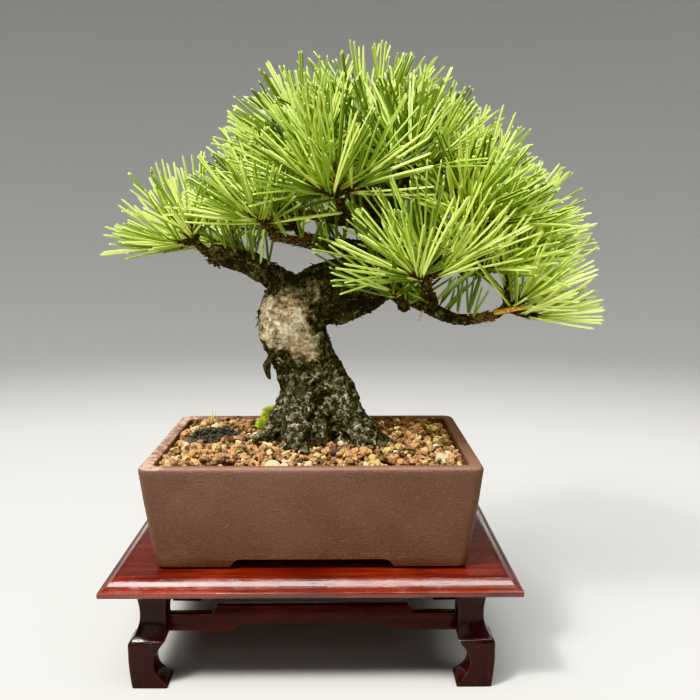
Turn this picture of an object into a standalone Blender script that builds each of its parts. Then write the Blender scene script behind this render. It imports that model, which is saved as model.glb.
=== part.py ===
"""A Japanese black pine bonsai in an unglazed rectangular pot on a low wooden display stand.

Sizes are in millimetres, and each mesh is scaled to metres as it is finished. X runs to the right
seen from the front, the front faces -Y, and Z runs up from the surface that the stand rests on.
The tree is worked out round the middle of the pot. At the end everything is moved together, so that
the origin is below the middle of the whole object.
"""

import math
import random
from dataclasses import dataclass

import bmesh
import bpy
from mathutils import Matrix, Vector, noise

MM = 0.001
SEAT_GAP = 0.3

# The stand: a moulded board on four scrolled legs, with a humped rail between each pair
BOARD_WIDTH = 153.0
BOARD_DEPTH = 114.0
BOARD_THICK = 6.2
LEG_HEIGHT = 38.2
LEG_INSET = 8.5
LEG_BLOCK_HEIGHT = 17.6
LEG_INNER_FACE = 13.6
RAIL_THICK = 4.0
RAIL_HEIGHT = 6.7
RAIL_BOTTOM = 20.0
RAIL_HUMP = 3.0
RAIL_HUMP_SLOPE = 2.0
RAIL_HUMP_TOP_SHARE = 0.66
RAIL_HUMP_BOTTOM_SHARE = 0.51
RAIL_BACK_FROM_FACE = 8.5

# The pot: flared walls, a rounded lip and four corner feet
POT_WIDTH = 126.0
POT_DEPTH = 98.0
POT_HEIGHT = 39.3
POT_CORNER = 4.2
POT_CORNER_LEAST = 2.5
POT_CORNER_TIGHTENS = 0.15  # how much of each inset comes off the corner's radius
POT_FLARE = 4.8
POT_LIP = 4.8
POT_WALL = 5.4
POT_FLOOR_TOP = 7.4
FOOT_HEIGHT = 3.6
FOOT_RING = 6.5
FOOT_ARCH_FRONT = 31.0
FOOT_ARCH_SIDE = 20.0
FOOT_ARCH_SLOPE = 4.0
DRAIN_RADIUS = 5.0
DRAIN_OFFSET = 28.0
CUT_BELOW = 4.0

BOARD_BOTTOM = LEG_HEIGHT + SEAT_GAP
BOARD_TOP = BOARD_BOTTOM + BOARD_THICK
POT_BOTTOM = BOARD_TOP + SEAT_GAP
RIM = POT_BOTTOM + POT_HEIGHT

# The soil: mounded from the wall up to a level patch under the trunk
SOIL_EDGE_DROP = 2.4
SOIL_RINGS = 7
SOIL_SIDE_PIECES = 14
SOIL_LUMP = 1.8
SOIL_LUMP_SIZE = 6.0  # half the distance between lumps
SOIL_HUMPS = [  # x, y, radius and height of the mossy hump and of the largest stones
    (-45, 5, 8.0, 2.4),
    (-30, -33, 4.5, 1.6),
    (-9, -37, 4.5, 1.4),
    (38, -28, 5.0, 1.4),
    (44, 12, 6.0, 1.6),
    (14, 32, 6.0, 1.5),
]
GROUND = RIM + 1.2
PATCH_HALF_WIDTH = 33.0
PATCH_HALF_DEPTH = 27.0
PATCH_CORNER = 21.6
PATCH_X = 1.0
PATCH_Y = -3.0
TRUNK_FOOT = GROUND + SEAT_GAP

# The trunk: leaning left from its roots, then swept to the right and up into the crown
TRUNK_SIDES = 18
TRUNK_STEPS = 4
TRUNK_LUMP_SIZE = 6.0
LOWER_ROUGHNESS = 1.3
UPPER_ROUGHNESS = 1.0
TRUNK_VOXEL = 3.4
TRUNK_KEEP = 0.42
TRUNK_TOP_CUT = 4.0
ROOT_REACH_HEIGHT = 10.0
LOWER_TRUNK = [
    (5, -3, 70),
    (4.5, -3, 86),
    (2.5, -2, 102),
    (-4.5, -2, 119),
    (-9, -3, 134),
    (-6, -2, 148),
]
LOWER_RADII = [17.0, 16.0, 14.0, 12.4, 13.8, 10.0]
UPPER_TRUNK = [
    (-8, -3, 141),
    (4, -1, 144),
    (16, 2, 147),
    (27, 4, 155),
    (31, 5, 167),
    (29, 6, 180),
    (24, 5, 200),
]
UPPER_RADII = [9.0, 13.0, 12.8, 11.5, 8.4, 6.2, 3.4]
ROOTS = [  # direction in degrees from +X towards +Y, reach beyond the trunk, half width in degrees
    (325, 13.5, 22),
    (288, -5.0, 13),
    (255, 11.0, 19),
    (200, 10.0, 24),
    (155, 9.0, 24),
    (65, 8.0, 28),
    (10, 5.0, 22),
]

# The boughs
BOUGH_SIDES = 6
BOUGH_STEPS = 2
BOUGH_ROUGHNESS = 0.4
BOUGH_LUMP_SIZE = 3.0

# Foliage: each shoot ends in a bud whose facets are drawn out into needles
STEM_STRAIGHT = 1.5
STEM_BEND = 5.5
SHOOT_TURN = 0.25
SHOOT_RANGE = (0.9, 1.1)
SHOOT_LIFT = 0.2
SHOOT_FREE = 5.0
SHOOT_ROOT = 0.07
SHOOT_STAGGER = 0.2
SHOOT_RADIUS = 0.75
SHOOT_TRIES = 4
SHOOT_TRY_STRAIGHTER = 0.15
TWIG_RADIUS = 1.3
BUD_SIDES = 5
BUD_RADIUS = 1.8
BUD_STEP = 2.0
BUD_SWELL = (0.8, 1.0, 0.95, 0.7)
BUD_BANDS = (72, 50, 30)  # needles' tilt from the shoot in degrees, from the bud's root to its tip
NEEDLE_RANGE = (0.84, 1.06)
NEEDLE_HALF_WIDTH = 0.9
NEEDLE_FREE = 4.0
NEEDLE_APART = 1.1
NEEDLE_TILT = 5
NEEDLE_LEAN = 0.15
NEEDLE_TRIES = 8
NEEDLE_TRY_STRAIGHTER = 0.12
NEEDLE_TRY_SHORTER = 0.03
NEEDLE_DROOP = -0.12
NEEDLE_STANDS_OUT = 0.15
NEEDLE_SPREADS = 0.03
SPACE_REACH = 24.0
SPACE_MARGIN = 1.1
LIMB_MARGIN = 1.2


@dataclass(frozen=True)
class Bough:
    """One limb: what it grows from, the points that it passes, and its radius at each end."""

    name: str
    parent: str
    points: tuple
    root_radius: float
    tip_radius: float


@dataclass(frozen=True)
class Mass:
    """One mass of foliage: the limb that carries it, the way it aims, and its shoots."""

    name: str
    limb: str
    aim: tuple
    shoots: int
    shoot_length: float
    needle_length: float
    fan: float
    seed: int


BOUGHS = [
    Bough("bough_left", "trunk", ((-9, -2, 147), (-25, -4, 156), (-41, -7, 161)), 5.6, 4.0),
    Bough("bough_left_back", "bough_left", ((-19, -3, 153), (-24, 9, 158), (-31, 17, 161)), 3.0, 1.9),
    Bough("bough_thin_left", "trunk", ((28, 2, 160), (6, -14, 163), (-13, -19, 167)), 2.6, 1.7),
    Bough("bough_front_left", "trunk", ((28, 4, 178), (14, -5, 183), (4, -11, 187)), 2.6, 1.7),
    Bough("bough_outer_left", "trunk", ((29, 6, 171), (10, 4, 174), (-7, 4, 177)), 3.0, 1.8),
    Bough("bough_upper_left", "trunk", ((26, 6, 186), (14, 6, 190), (4, 5, 195)), 2.6, 1.7),
    Bough("bough_back_left", "trunk", ((29, 6, 163), (12, 19, 164), (-4, 26, 167)), 3.2, 1.8),
    Bough("bough_front", "trunk", ((28, 4, 168), (19, -14, 171), (12, -27, 176)), 2.8, 1.8),
    Bough("bough_front_upper", "trunk", ((28, 5, 182), (33, -6, 183), (35, -14, 185)), 2.4, 1.7),
    Bough("bough_right_front", "trunk", ((31, 5, 171), (46, -7, 169), (55, -14, 170)), 2.8, 1.8),
    Bough("bough_upper_right", "trunk", ((26, 6, 186), (33, 5, 189), (38, 5, 191)), 2.4, 1.7),
    Bough("bough_right_upper", "trunk", ((29, 6, 177), (42, 5, 177), (53, 5, 179)), 2.8, 1.8),
    Bough("bough_right", "trunk", ((31, 5, 164), (52, 7, 162), (69, 8, 163)), 4.0, 2.1),
    Bough("bough_right_low", "bough_right", ((52, 7, 162), (59, 3, 157), (66, 4, 153)), 2.5, 1.7),
    Bough("bough_right_middle", "bough_right", ((44, 6, 163), (55, -8, 157), (59, -15, 154)), 2.4, 1.7),
    Bough(
        "bough_low_right", "trunk", ((26, 0, 150), (43, -19, 141), (55, -25, 136), (67, -25, 137)), 3.6, 1.8
    ),
    Bough(
        "bough_front_right", "bough_low_right", ((44, -20, 141), (46, -28, 143), (43, -34, 146)), 2.2, 1.6
    ),
    Bough("bough_low_sprig", "bough_low_right", ((38, -13, 144), (36, -20, 141), (35, -25, 141)), 2.0, 1.4),
    Bough("bough_back", "trunk", ((27, 6, 182), (25, 18, 186), (24, 27, 190)), 2.8, 1.8),
    Bough("bough_back_right", "trunk", ((30, 6, 170), (41, 18, 172), (49, 25, 176)), 3.2, 1.9),
    Bough("bough_back_low", "trunk", ((30, 6, 162), (31, 20, 163), (31, 29, 166)), 3.0, 1.8),
    Bough("bough_back_right_low", "trunk", ((29, 5, 155), (48, 17, 156), (64, 23, 156)), 3.0, 1.8),
]

MASSES = [  # name, limb, aim, shoots, shoot length, needle length, fan in degrees, seed
    Mass("foliage_left", "bough_left", (-0.62, -0.12, 0.66), 5, 10, 27, 60, 5),
    Mass("foliage_left_back", "bough_left_back", (-0.46, 0.42, 0.66), 3, 8, 29, 54, 40),
    Mass("foliage_thin_left", "bough_thin_left", (-0.34, -0.28, 0.88), 4, 9, 32, 54, 46),
    Mass("foliage_front_left", "bough_front_left", (-0.35, -0.40, 0.85), 3, 11, 31, 50, 40),
    Mass("foliage_outer_left", "bough_outer_left", (-0.62, 0.05, 0.78), 4, 9, 32, 54, 45),
    Mass("foliage_upper_left", "bough_upper_left", (-0.36, 0.05, 0.93), 4, 11, 31, 52, 48),
    Mass("foliage_back_left", "bough_back_left", (-0.48, 0.50, 0.70), 4, 10, 34, 54, 52),
    Mass("foliage_front", "bough_front", (-0.12, -0.48, 0.87), 4, 11, 36, 54, 51),
    Mass("foliage_front_upper", "bough_front_upper", (0.12, -0.50, 0.86), 3, 11, 34, 52, 51),
    Mass("foliage_right_front", "bough_right_front", (0.45, -0.50, 0.74), 4, 11, 35, 54, 46),
    Mass("foliage_upper_right", "bough_upper_right", (0.30, 0.0, 0.95), 4, 11, 31, 50, 1),
    Mass("foliage_right_upper", "bough_right_upper", (0.60, 0.0, 0.80), 4, 11, 31, 52, 43),
    Mass("foliage_right", "bough_right", (0.80, 0.05, 0.60), 4, 11, 33, 54, 21),
    Mass("foliage_right_low", "bough_right_low", (0.92, 0.05, 0.36), 3, 11, 35, 50, 48),
    Mass("foliage_right_middle", "bough_right_middle", (0.45, -0.58, 0.68), 4, 11, 36, 54, 40),
    Mass("foliage_low_right", "bough_low_right", (0.82, -0.10, 0.52), 4, 11, 31, 52, 44),
    Mass("foliage_front_right", "bough_front_right", (-0.06, -0.42, 0.90), 4, 10, 36, 56, 51),
    Mass("foliage_low_sprig", "bough_low_sprig", (-0.52, -0.50, 0.68), 1, 7, 36, 0, 47),
    Mass("foliage_back", "bough_back", (-0.05, 0.48, 0.87), 4, 11, 34, 54, 19),
    Mass("foliage_back_right", "bough_back_right", (0.48, 0.55, 0.68), 4, 11, 34, 54, 44),
    Mass("foliage_back_low", "bough_back_low", (0.0, 0.80, 0.60), 3, 11, 36, 54, 30),
    Mass("foliage_back_right_low", "bough_back_right_low", (0.74, 0.48, 0.46), 4, 11, 34, 54, 5),
    Mass("foliage_top", "trunk", (-0.28, -0.02, 0.95), 5, 11, 36, 54, 54),
]


def clear_scene():
    """Removes whatever the scene holds."""
    for obj in list(bpy.data.objects):
        bpy.data.objects.remove(obj)


def material(name, colour, roughness, metallic=0.0):
    """A Principled material of one colour."""
    made = bpy.data.materials.new(name)
    made.use_nodes = True
    shader = made.node_tree.nodes["Principled BSDF"]
    shader.inputs["Base Color"].default_value = (*colour, 1.0)
    shader.inputs["Roughness"].default_value = roughness
    shader.inputs["Metallic"].default_value = metallic
    return made


def finish(bm, name, look, smooth_angle=None):
    """Makes an object of a mesh in millimetres, scaled to metres, with its faces pointing out."""
    bmesh.ops.recalc_face_normals(bm, faces=bm.faces)
    bmesh.ops.scale(bm, vec=(MM, MM, MM), verts=bm.verts)
    mesh = bpy.data.meshes.new(name)
    bm.to_mesh(mesh)
    bm.free()
    if smooth_angle is not None:
        mesh.shade_smooth()
        mesh.set_sharp_from_angle(angle=math.radians(smooth_angle))
    obj = bpy.data.objects.new(name, mesh)
    obj.data.materials.append(look)
    bpy.context.scene.collection.objects.link(obj)
    return obj


def as_cutter(obj):
    """Keeps an object as a helper that isn't part of the model."""
    obj.hide_render = True
    obj.display_type = "WIRE"
    return obj


def cut(obj, cutter):
    """Takes a closed helper away from an object."""
    modifier = obj.modifiers.new("cut_" + cutter.name, "BOOLEAN")
    modifier.operation = "DIFFERENCE"
    modifier.object = as_cutter(cutter)
    return obj


def apply_modifiers(obj):
    """Replaces an object's mesh by the mesh that its modifiers make."""
    graph = bpy.context.evaluated_depsgraph_get()
    made = bpy.data.meshes.new_from_object(obj.evaluated_get(graph))
    obj.modifiers.clear()
    obj.data = made
    return obj


def keep_largest(obj):
    """Drops the loose scraps that a cut leaves beside the largest piece."""
    bm = bmesh.new()
    bm.from_mesh(obj.data)
    left = set(bm.verts)
    largest = set()
    while left:
        piece, edge_of = set(), [left.pop()]
        while edge_of:
            vert = edge_of.pop()
            piece.add(vert)
            for edge in vert.link_edges:
                other = edge.other_vert(vert)
                if other in left:
                    left.remove(other)
                    edge_of.append(other)
        largest = max(largest, piece, key=len)
    bmesh.ops.delete(bm, geom=[vert for vert in bm.verts if vert not in largest], context="VERTS")
    bm.to_mesh(obj.data)
    bm.free()
    return obj


def loft(rings):
    """A closed solid skinned over rings of points, with a flat face over its first and last ring."""
    bm = bmesh.new()
    loops = [[bm.verts.new(point) for point in ring] for ring in rings]
    for low, high in zip(loops, loops[1:]):
        for side in range(len(low)):
            bm.faces.new((low[side - 1], low[side], high[side], high[side - 1]))
    bm.faces.new(loops[0][::-1])
    bm.faces.new(loops[-1])
    return bm


def rectangle(half_x, half_y, z):
    """The four corners of a level rectangle round the middle of the pot."""
    return [(x * half_x, y * half_y, z) for x, y in ((-1, -1), (1, -1), (1, 1), (-1, 1))]


def rounded_rectangle(half_x, half_y, radius, z, steps=3):
    """A level rectangle with round corners, as a ring of points."""
    ring = []
    for quarter, (x, y) in enumerate(((1, 1), (-1, 1), (-1, -1), (1, -1))):
        for step in range(steps + 1):
            angle = math.radians(90 * (quarter + step / steps))
            ring.append(
                (
                    x * (half_x - radius) + radius * math.cos(angle),
                    y * (half_y - radius) + radius * math.sin(angle),
                    z,
                )
            )
    return ring


# The stand


def build_board(look):
    """The stand's top: a thin lip, an ogee above it and a flat top."""
    ogee = [
        (0.9, 0.0),
        (0.2, 0.3),
        (0.0, 0.8),
        (0.0, 2.1),
        (0.5, 2.5),
        (1.7, 3.0),
        (2.8, 3.8),
        (3.8, 4.9),
        (4.8, 5.7),
        (5.9, 6.1),
        (7.0, BOARD_THICK),
    ]
    rings = [
        rectangle(BOARD_WIDTH / 2 - inset, BOARD_DEPTH / 2 - inset, BOARD_BOTTOM + height)
        for inset, height in ogee
    ]
    return finish(loft(rings), "stand_top", look, 20)


def leg_profile():
    """(height, outer face set back, inner face set back) up the leg, from its foot to the board."""
    return [
        (0.0, 1.0, 14.2),
        (1.5, 0.8, 13.6),
        (4.5, 0.5, 11.2),
        (8.0, 0.2, 9.6),
        (11.5, 0.0, 9.5),
        (14.5, 0.0, 10.6),
        (LEG_BLOCK_HEIGHT, 0.0, 12.8),
        (LEG_BLOCK_HEIGHT + 1.0, 0.9, LEG_INNER_FACE),
        (LEG_BLOCK_HEIGHT + 3.6, 2.5, LEG_INNER_FACE),
        (LEG_BLOCK_HEIGHT + 7.4, 3.7, LEG_INNER_FACE),
        (LEG_BLOCK_HEIGHT + 12.0, 3.8, LEG_INNER_FACE),
        (LEG_BLOCK_HEIGHT + 16.5, 3.1, 14.2),
        (LEG_HEIGHT, 1.6, 15.2),
    ]


def build_leg(name, side_x, side_y, look):
    """One scrolled leg, sawn to the same curve on both of its outer faces and both inner ones."""
    face_x = BOARD_WIDTH / 2 - LEG_INSET
    face_y = BOARD_DEPTH / 2 - LEG_INSET
    rings = []
    for height, outer, inner in leg_profile():
        rings.append(
            [
                (side_x * (face_x - outer), side_y * (face_y - outer), height),
                (side_x * (face_x - inner), side_y * (face_y - outer), height),
                (side_x * (face_x - inner), side_y * (face_y - inner), height),
                (side_x * (face_x - outer), side_y * (face_y - inner), height),
            ]
        )
    return finish(loft(rings), name, look, 30)


def rail_outline(half_length, hump_top, hump_bottom):
    """A bar whose middle steps up, as (along, height) points."""
    low, high = RAIL_BOTTOM, RAIL_BOTTOM + RAIL_HEIGHT
    bottom = [
        (-half_length, low),
        (-hump_bottom - RAIL_HUMP_SLOPE, low),
        (-hump_bottom, low + RAIL_HUMP),
        (hump_bottom, low + RAIL_HUMP),
        (hump_bottom + RAIL_HUMP_SLOPE, low),
        (half_length, low),
    ]
    top = [
        (half_length, high),
        (hump_top + RAIL_HUMP_SLOPE, high),
        (hump_top, high + RAIL_HUMP),
        (-hump_top, high + RAIL_HUMP),
        (-hump_top - RAIL_HUMP_SLOPE, high),
        (-half_length, high),
    ]
    return bottom + top


def build_rail(name, turned, side, look):
    """A humped rail between two legs, along X or, turned, along Y."""
    spans = (BOARD_WIDTH, BOARD_DEPTH)
    along, across = spans[::-1] if turned else spans
    half_length = along / 2 - LEG_INSET - LEG_INNER_FACE - SEAT_GAP
    place = side * (across / 2 - LEG_INSET - RAIL_BACK_FROM_FACE)
    outline = rail_outline(
        half_length, half_length * RAIL_HUMP_TOP_SHARE, half_length * RAIL_HUMP_BOTTOM_SHARE
    )
    rings = []
    for face in (-0.5, 0.5):
        y = place + face * RAIL_THICK
        rings.append([(y, x, z) if turned else (x, y, z) for x, z in outline])
    return finish(loft(rings), name, look)


def build_stand(look):
    """The board, four legs and four rails."""
    parts = [build_board(look)]
    for end, side_y in (("front", -1), ("back", 1)):
        for hand, side_x in (("left", -1), ("right", 1)):
            parts.append(build_leg(f"leg_{end}_{hand}", side_x, side_y, look))
    for name, turned, side in (
        ("rail_front", False, -1),
        ("rail_back", False, 1),
        ("rail_left", True, -1),
        ("rail_right", True, 1),
    ):
        parts.append(build_rail(name, turned, side, look))
    return parts


# The pot and its soil


def pot_wall_outside():
    """(inset from the rim, height above the foot) up the outside of the wall."""
    return [
        (POT_FLARE + 1.9, 0.0),
        (POT_FLARE + 0.7, 0.5),
        (POT_FLARE + 0.1, 1.7),
        (POT_FLARE * 0.80, 9.0),
        (POT_FLARE * 0.52, 18.0),
        (POT_FLARE * 0.26, 27.0),
        (POT_FLARE * 0.09, 34.0),
        (0.0, 37.4),
        (0.2, 38.6),
        (1.0, POT_HEIGHT),
    ]


def pot_wall_inside():
    """(inset from the rim, height above the foot) down the inside of the wall to the floor."""
    return [
        (POT_LIP - 0.8, POT_HEIGHT),
        (POT_LIP, POT_HEIGHT - 0.7),
        (POT_WALL, POT_HEIGHT - 3.5),
        (POT_WALL + POT_FLARE * 0.5, 20.0),
        (POT_WALL + POT_FLARE * 0.9, 9.5),
        (POT_WALL + POT_FLARE + 1.5, POT_FLOOR_TOP),
    ]


def pot_ring(inset, height, extra=0.0):
    """The pot's plan at one height, moved inwards by an inset and a further clearance."""
    radius = max(POT_CORNER_LEAST, POT_CORNER - POT_CORNER_TIGHTENS * (inset + extra))
    return rounded_rectangle(
        POT_WIDTH / 2 - inset - extra, POT_DEPTH / 2 - inset - extra, radius, POT_BOTTOM + height
    )


def arch_cutter(name, half_width, turned, look):
    """A long low block that opens an arch between two feet, with sloping ends."""
    reach = max(POT_WIDTH, POT_DEPTH)
    profile = [
        (-half_width - FOOT_ARCH_SLOPE, -CUT_BELOW),
        (-half_width, 0.0),
        (-half_width + 0.6 * FOOT_ARCH_SLOPE, 0.7 * FOOT_HEIGHT),
        (-half_width + FOOT_ARCH_SLOPE, FOOT_HEIGHT),
    ]
    profile += [(-along, height) for along, height in reversed(profile)]
    rings = []
    for across in (-reach, reach):
        rings.append(
            [
                (across, along, POT_BOTTOM + height) if turned else (along, across, POT_BOTTOM + height)
                for along, height in profile
            ]
        )
    return finish(loft(rings), name, look)


def build_pot(look):
    """The pot: one wall lofted up the outside and down the inside, then opened underneath."""
    rings = [pot_ring(inset, height) for inset, height in pot_wall_outside() + pot_wall_inside()]
    pot = finish(loft(rings), "pot", look, 35)
    foot_inset = POT_FLARE + FOOT_RING
    recess = loft([pot_ring(foot_inset, -CUT_BELOW), pot_ring(foot_inset, FOOT_HEIGHT)])
    cut(pot, finish(recess, "foot_recess", look))
    cut(pot, arch_cutter("arch_front", FOOT_ARCH_FRONT, False, look))
    cut(pot, arch_cutter("arch_side", FOOT_ARCH_SIDE, True, look))
    for number, side in enumerate((-1, 1)):
        drain = bmesh.new()
        middle = Matrix.Translation((side * DRAIN_OFFSET, 0, POT_BOTTOM + POT_FLOOR_TOP / 2))
        bmesh.ops.create_cone(
            drain,
            cap_ends=True,
            segments=16,
            radius1=DRAIN_RADIUS,
            radius2=DRAIN_RADIUS,
            depth=2 * POT_FLOOR_TOP,
            matrix=middle,
        )
        cut(pot, finish(drain, f"drain_{number}", look))
    return pot


def with_sides(ring):
    """A ring of four round corners, with points added along the four straight sides between them."""
    filled = []
    for index, point in enumerate(ring):
        filled.append(point)
        if (index + 1) % (len(ring) // 4) == 0:
            after = Vector(ring[(index + 1) % len(ring)])
            for piece in range(1, SOIL_SIDE_PIECES):
                filled.append(tuple(Vector(point).lerp(after, piece / SOIL_SIDE_PIECES)))
    return filled


def soil_lumps(x, y):
    """How far the mound's lumps, its mossy hump and its largest stones stand up at a place."""
    height = SOIL_LUMP * noise.noise(Vector((x, y, 0)) / SOIL_LUMP_SIZE)
    for hump_x, hump_y, radius, rise in SOIL_HUMPS:
        height += rise * math.exp(-((x - hump_x) ** 2 + (y - hump_y) ** 2) / radius**2)
    return height


def soil_ring(share):
    """A ring of the mound: the wall's plan at share 0, the level patch under the trunk at share 1."""
    outside = with_sides(pot_ring(POT_WALL, 0, SEAT_GAP))
    inside = with_sides(rounded_rectangle(PATCH_HALF_WIDTH, PATCH_HALF_DEPTH, PATCH_CORNER, 0))
    edge, top = RIM - SOIL_EDGE_DROP, GROUND
    ring = []
    for (ax, ay, _), (bx, by, _) in zip(outside, inside):
        x = ax + (bx + PATCH_X - ax) * share
        y = ay + (by + PATCH_Y - ay) * share
        rise = math.sin(share * math.pi / 2)
        between = math.sqrt(max(0.0, math.sin(share * math.pi)))
        ring.append((x, y, edge + (top - edge) * rise + soil_lumps(x, y) * between))
    return ring


def build_soil(look):
    """The soil: it fills the pot 0.3 mm clear of the wall and rises to the foot of the trunk."""
    rings = []
    for inset, height in reversed(pot_wall_inside()[2:]):
        rings.append(with_sides(pot_ring(inset, height, SEAT_GAP)))
    rings[0] = [(x, y, z + SEAT_GAP) for x, y, z in rings[0]]
    rings += [soil_ring(number / SOIL_RINGS) for number in range(SOIL_RINGS + 1)]
    return finish(loft(rings), "soil", look, 40)


# The trunk and the boughs


def smooth_path(points, steps):
    """Points along a curve through all the given points, steps to each stretch between two."""
    knots = [Vector(p) for p in points]
    knots = [2 * knots[0] - knots[1], *knots, 2 * knots[-1] - knots[-2]]
    path = []
    for a, b, c, d in zip(knots, knots[1:], knots[2:], knots[3:]):
        for step in range(steps):
            t = step / steps
            bend = (2 * a - 5 * b + 4 * c - d) * t**2 + (3 * b - a - 3 * c + d) * t**3
            path.append(0.5 * (2 * b + (c - a) * t + bend))
    path.append(knots[-2])
    return path


def values_along(values, steps):
    """The same stretch by stretch interpolation for a list of single values."""
    return [p.x for p in smooth_path([(value, 0, 0) for value in values], steps)]


def frames_along(path, across=Vector((1, 0, 0))):
    """Two directions across the path at each point, carried along so that they don't twist."""
    frames = []
    for index, _ in enumerate(path):
        ahead = path[min(index + 1, len(path) - 1)] - path[max(index - 1, 0)]
        ahead.normalize()
        across = (across - ahead * across.dot(ahead)).normalized()
        frames.append((across, ahead.cross(across)))
    return frames


def tube_rings(path, radii, sides, roughness, grain):
    """Rings round a path, with a lumpy outline that depends only on where each point is."""
    rings = []
    for centre, radius, (u, v) in zip(path, radii, frames_along(path)):
        ring = []
        for side in range(sides):
            angle = 2 * math.pi * side / sides
            out = u * math.cos(angle) + v * math.sin(angle)
            lump = roughness * noise.noise((centre + out * radius) / grain)
            ring.append(centre + out * (radius + lump))
        rings.append(ring)
    return rings


def root_swell(direction, height):
    """How far the roots stand out beyond the trunk in one direction at one height above the ground."""
    swell = 0.0
    for heading, reach, half_width in ROOTS:
        turn = (math.degrees(direction) - heading + 180) % 360 - 180
        swell += reach * math.exp(-((turn / half_width) ** 2))
    return swell * math.exp(-max(height, 0.0) / ROOT_REACH_HEIGHT)


def lower_trunk_rings():
    """The lower trunk's rings, spread into roots at the ground."""
    path = smooth_path(LOWER_TRUNK, TRUNK_STEPS)
    radii = values_along(LOWER_RADII, TRUNK_STEPS)
    rings = tube_rings(path, radii, TRUNK_SIDES, LOWER_ROUGHNESS, TRUNK_LUMP_SIZE)
    for centre, ring in zip(path, rings):
        for index, point in enumerate(ring):
            away = Vector((point.x - centre.x, point.y - centre.y, 0))
            swell = root_swell(math.atan2(away.y, away.x), point.z - GROUND)
            ring[index] = point + away.normalized() * swell
    return rings


def slice_flat(bm, point, inward):
    """Cuts a mesh in metres flat through a point in millimetres, and keeps the inward side."""
    bmesh.ops.bisect_plane(
        bm,
        geom=[*bm.verts, *bm.edges, *bm.faces],
        plane_co=Vector(point) * MM,
        plane_no=inward,
        clear_inner=True,
    )
    bmesh.ops.contextual_create(bm, geom=[edge for edge in bm.edges if edge.is_boundary])


def trunk_tip():
    """The middle of the trunk's flat upper end, and the way that the trunk points there."""
    path = smooth_path(UPPER_TRUNK, TRUNK_STEPS)
    heading = (path[-1] - path[-2]).normalized()
    return path[-1] - heading * TRUNK_TOP_CUT, heading


def build_trunk(look):
    """The trunk: its two sweeps joined, rounded together, and cut flat at the ground and at its tip."""
    trunk = finish(loft(lower_trunk_rings()), "trunk", look)
    path = smooth_path(UPPER_TRUNK, TRUNK_STEPS)
    radii = values_along(UPPER_RADII, TRUNK_STEPS)
    upper = tube_rings(path, radii, TRUNK_SIDES, UPPER_ROUGHNESS, TRUNK_LUMP_SIZE)
    sweep = finish(loft(upper), "trunk_sweep", look)
    union = trunk.modifiers.new("sweep", "BOOLEAN")
    union.operation = "UNION"
    union.object = as_cutter(sweep)
    remesh = trunk.modifiers.new("round_together", "REMESH")
    remesh.mode = "VOXEL"
    remesh.voxel_size = TRUNK_VOXEL * MM
    fewer = trunk.modifiers.new("fewer_faces", "DECIMATE")
    fewer.ratio = TRUNK_KEEP
    apply_modifiers(trunk)
    bm = bmesh.new()
    bm.from_mesh(trunk.data)
    slice_flat(bm, (0, 0, TRUNK_FOOT), (0, 0, 1))
    tip, heading = trunk_tip()
    slice_flat(bm, tip, -heading)
    bmesh.ops.recalc_face_normals(bm, faces=bm.faces)
    bm.to_mesh(trunk.data)
    bm.free()
    trunk.data.shade_smooth()
    return trunk


def clearance_of(obj):
    """A helper that stands 0.3 mm proud of an object all over."""
    bm = bmesh.new()
    bm.from_mesh(obj.data)
    bm.normal_update()
    for vert, normal in [(vert, vert.normal.copy()) for vert in bm.verts]:
        vert.co += normal * SEAT_GAP * MM
    mesh = bpy.data.meshes.new(obj.name + "_clearance")
    bm.to_mesh(mesh)
    bm.free()
    helper = bpy.data.objects.new(mesh.name, mesh)
    bpy.context.scene.collection.objects.link(helper)
    return as_cutter(helper)


def bough_path(bough):
    """A bough's centre line and its radius at each point."""
    path = smooth_path(bough.points, BOUGH_STEPS)
    last = len(path) - 1
    taper = (bough.tip_radius - bough.root_radius) / last
    return path, [bough.root_radius + taper * index for index in range(last + 1)]


def build_boughs(trunk, look):
    """Every bough, cut 0.3 mm clear of the limb that it grows from."""
    grown = {"trunk": trunk}
    for bough in BOUGHS:
        rings = tube_rings(*bough_path(bough), BOUGH_SIDES, BOUGH_ROUGHNESS, BOUGH_LUMP_SIZE)
        obj = finish(loft(rings), bough.name, look, 50)
        cut(obj, clearance_of(grown[bough.parent]))
        grown[bough.name] = keep_largest(apply_modifiers(obj))
    return grown


def limb_capsules():
    """Every limb as straight stretches, each with the radius that foliage keeps away from."""
    lower = smooth_path(LOWER_TRUNK, BOUGH_STEPS)
    upper = [*smooth_path(UPPER_TRUNK, BOUGH_STEPS)[:-1], trunk_tip()[0]]
    paths = [
        (lower, values_along(LOWER_RADII, BOUGH_STEPS)),
        (upper, values_along(UPPER_RADII, BOUGH_STEPS)),
        *(bough_path(bough) for bough in BOUGHS),
    ]
    capsules = []
    for path, radii in paths:
        for a, b, ra, rb in zip(path, path[1:], radii, radii[1:]):
            capsules.append((a, b, max(ra, rb)))
    return capsules


# The foliage


def nearest_gap(a, b, c, d):
    """The shortest distance between the stretch from a to b and the stretch from c to d."""
    u, v, w = b - a, d - c, a - c
    uu, uv, vv, uw, vw = u.dot(u), u.dot(v), v.dot(v), u.dot(w), v.dot(w)
    under = uu * vv - uv * uv
    s = 0.0 if under < 1e-9 else min(1.0, max(0.0, (uv * vw - vv * uw) / under))
    t = min(1.0, max(0.0, (uv * s + vw) / vv))
    s = min(1.0, max(0.0, (uv * t - uw) / uu))
    return (w + u * s - v * t).length


def mass_start(mass):
    """Where a mass's stem starts, just past the tip of its limb, and the way that the limb points."""
    if mass.limb == "trunk":
        tip, heading = trunk_tip()
    else:
        path = bough_path(next(bough for bough in BOUGHS if bough.name == mass.limb))[0]
        tip, heading = path[-1], (path[-1] - path[-2]).normalized()
    return tip + heading * SEAT_GAP, heading


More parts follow.
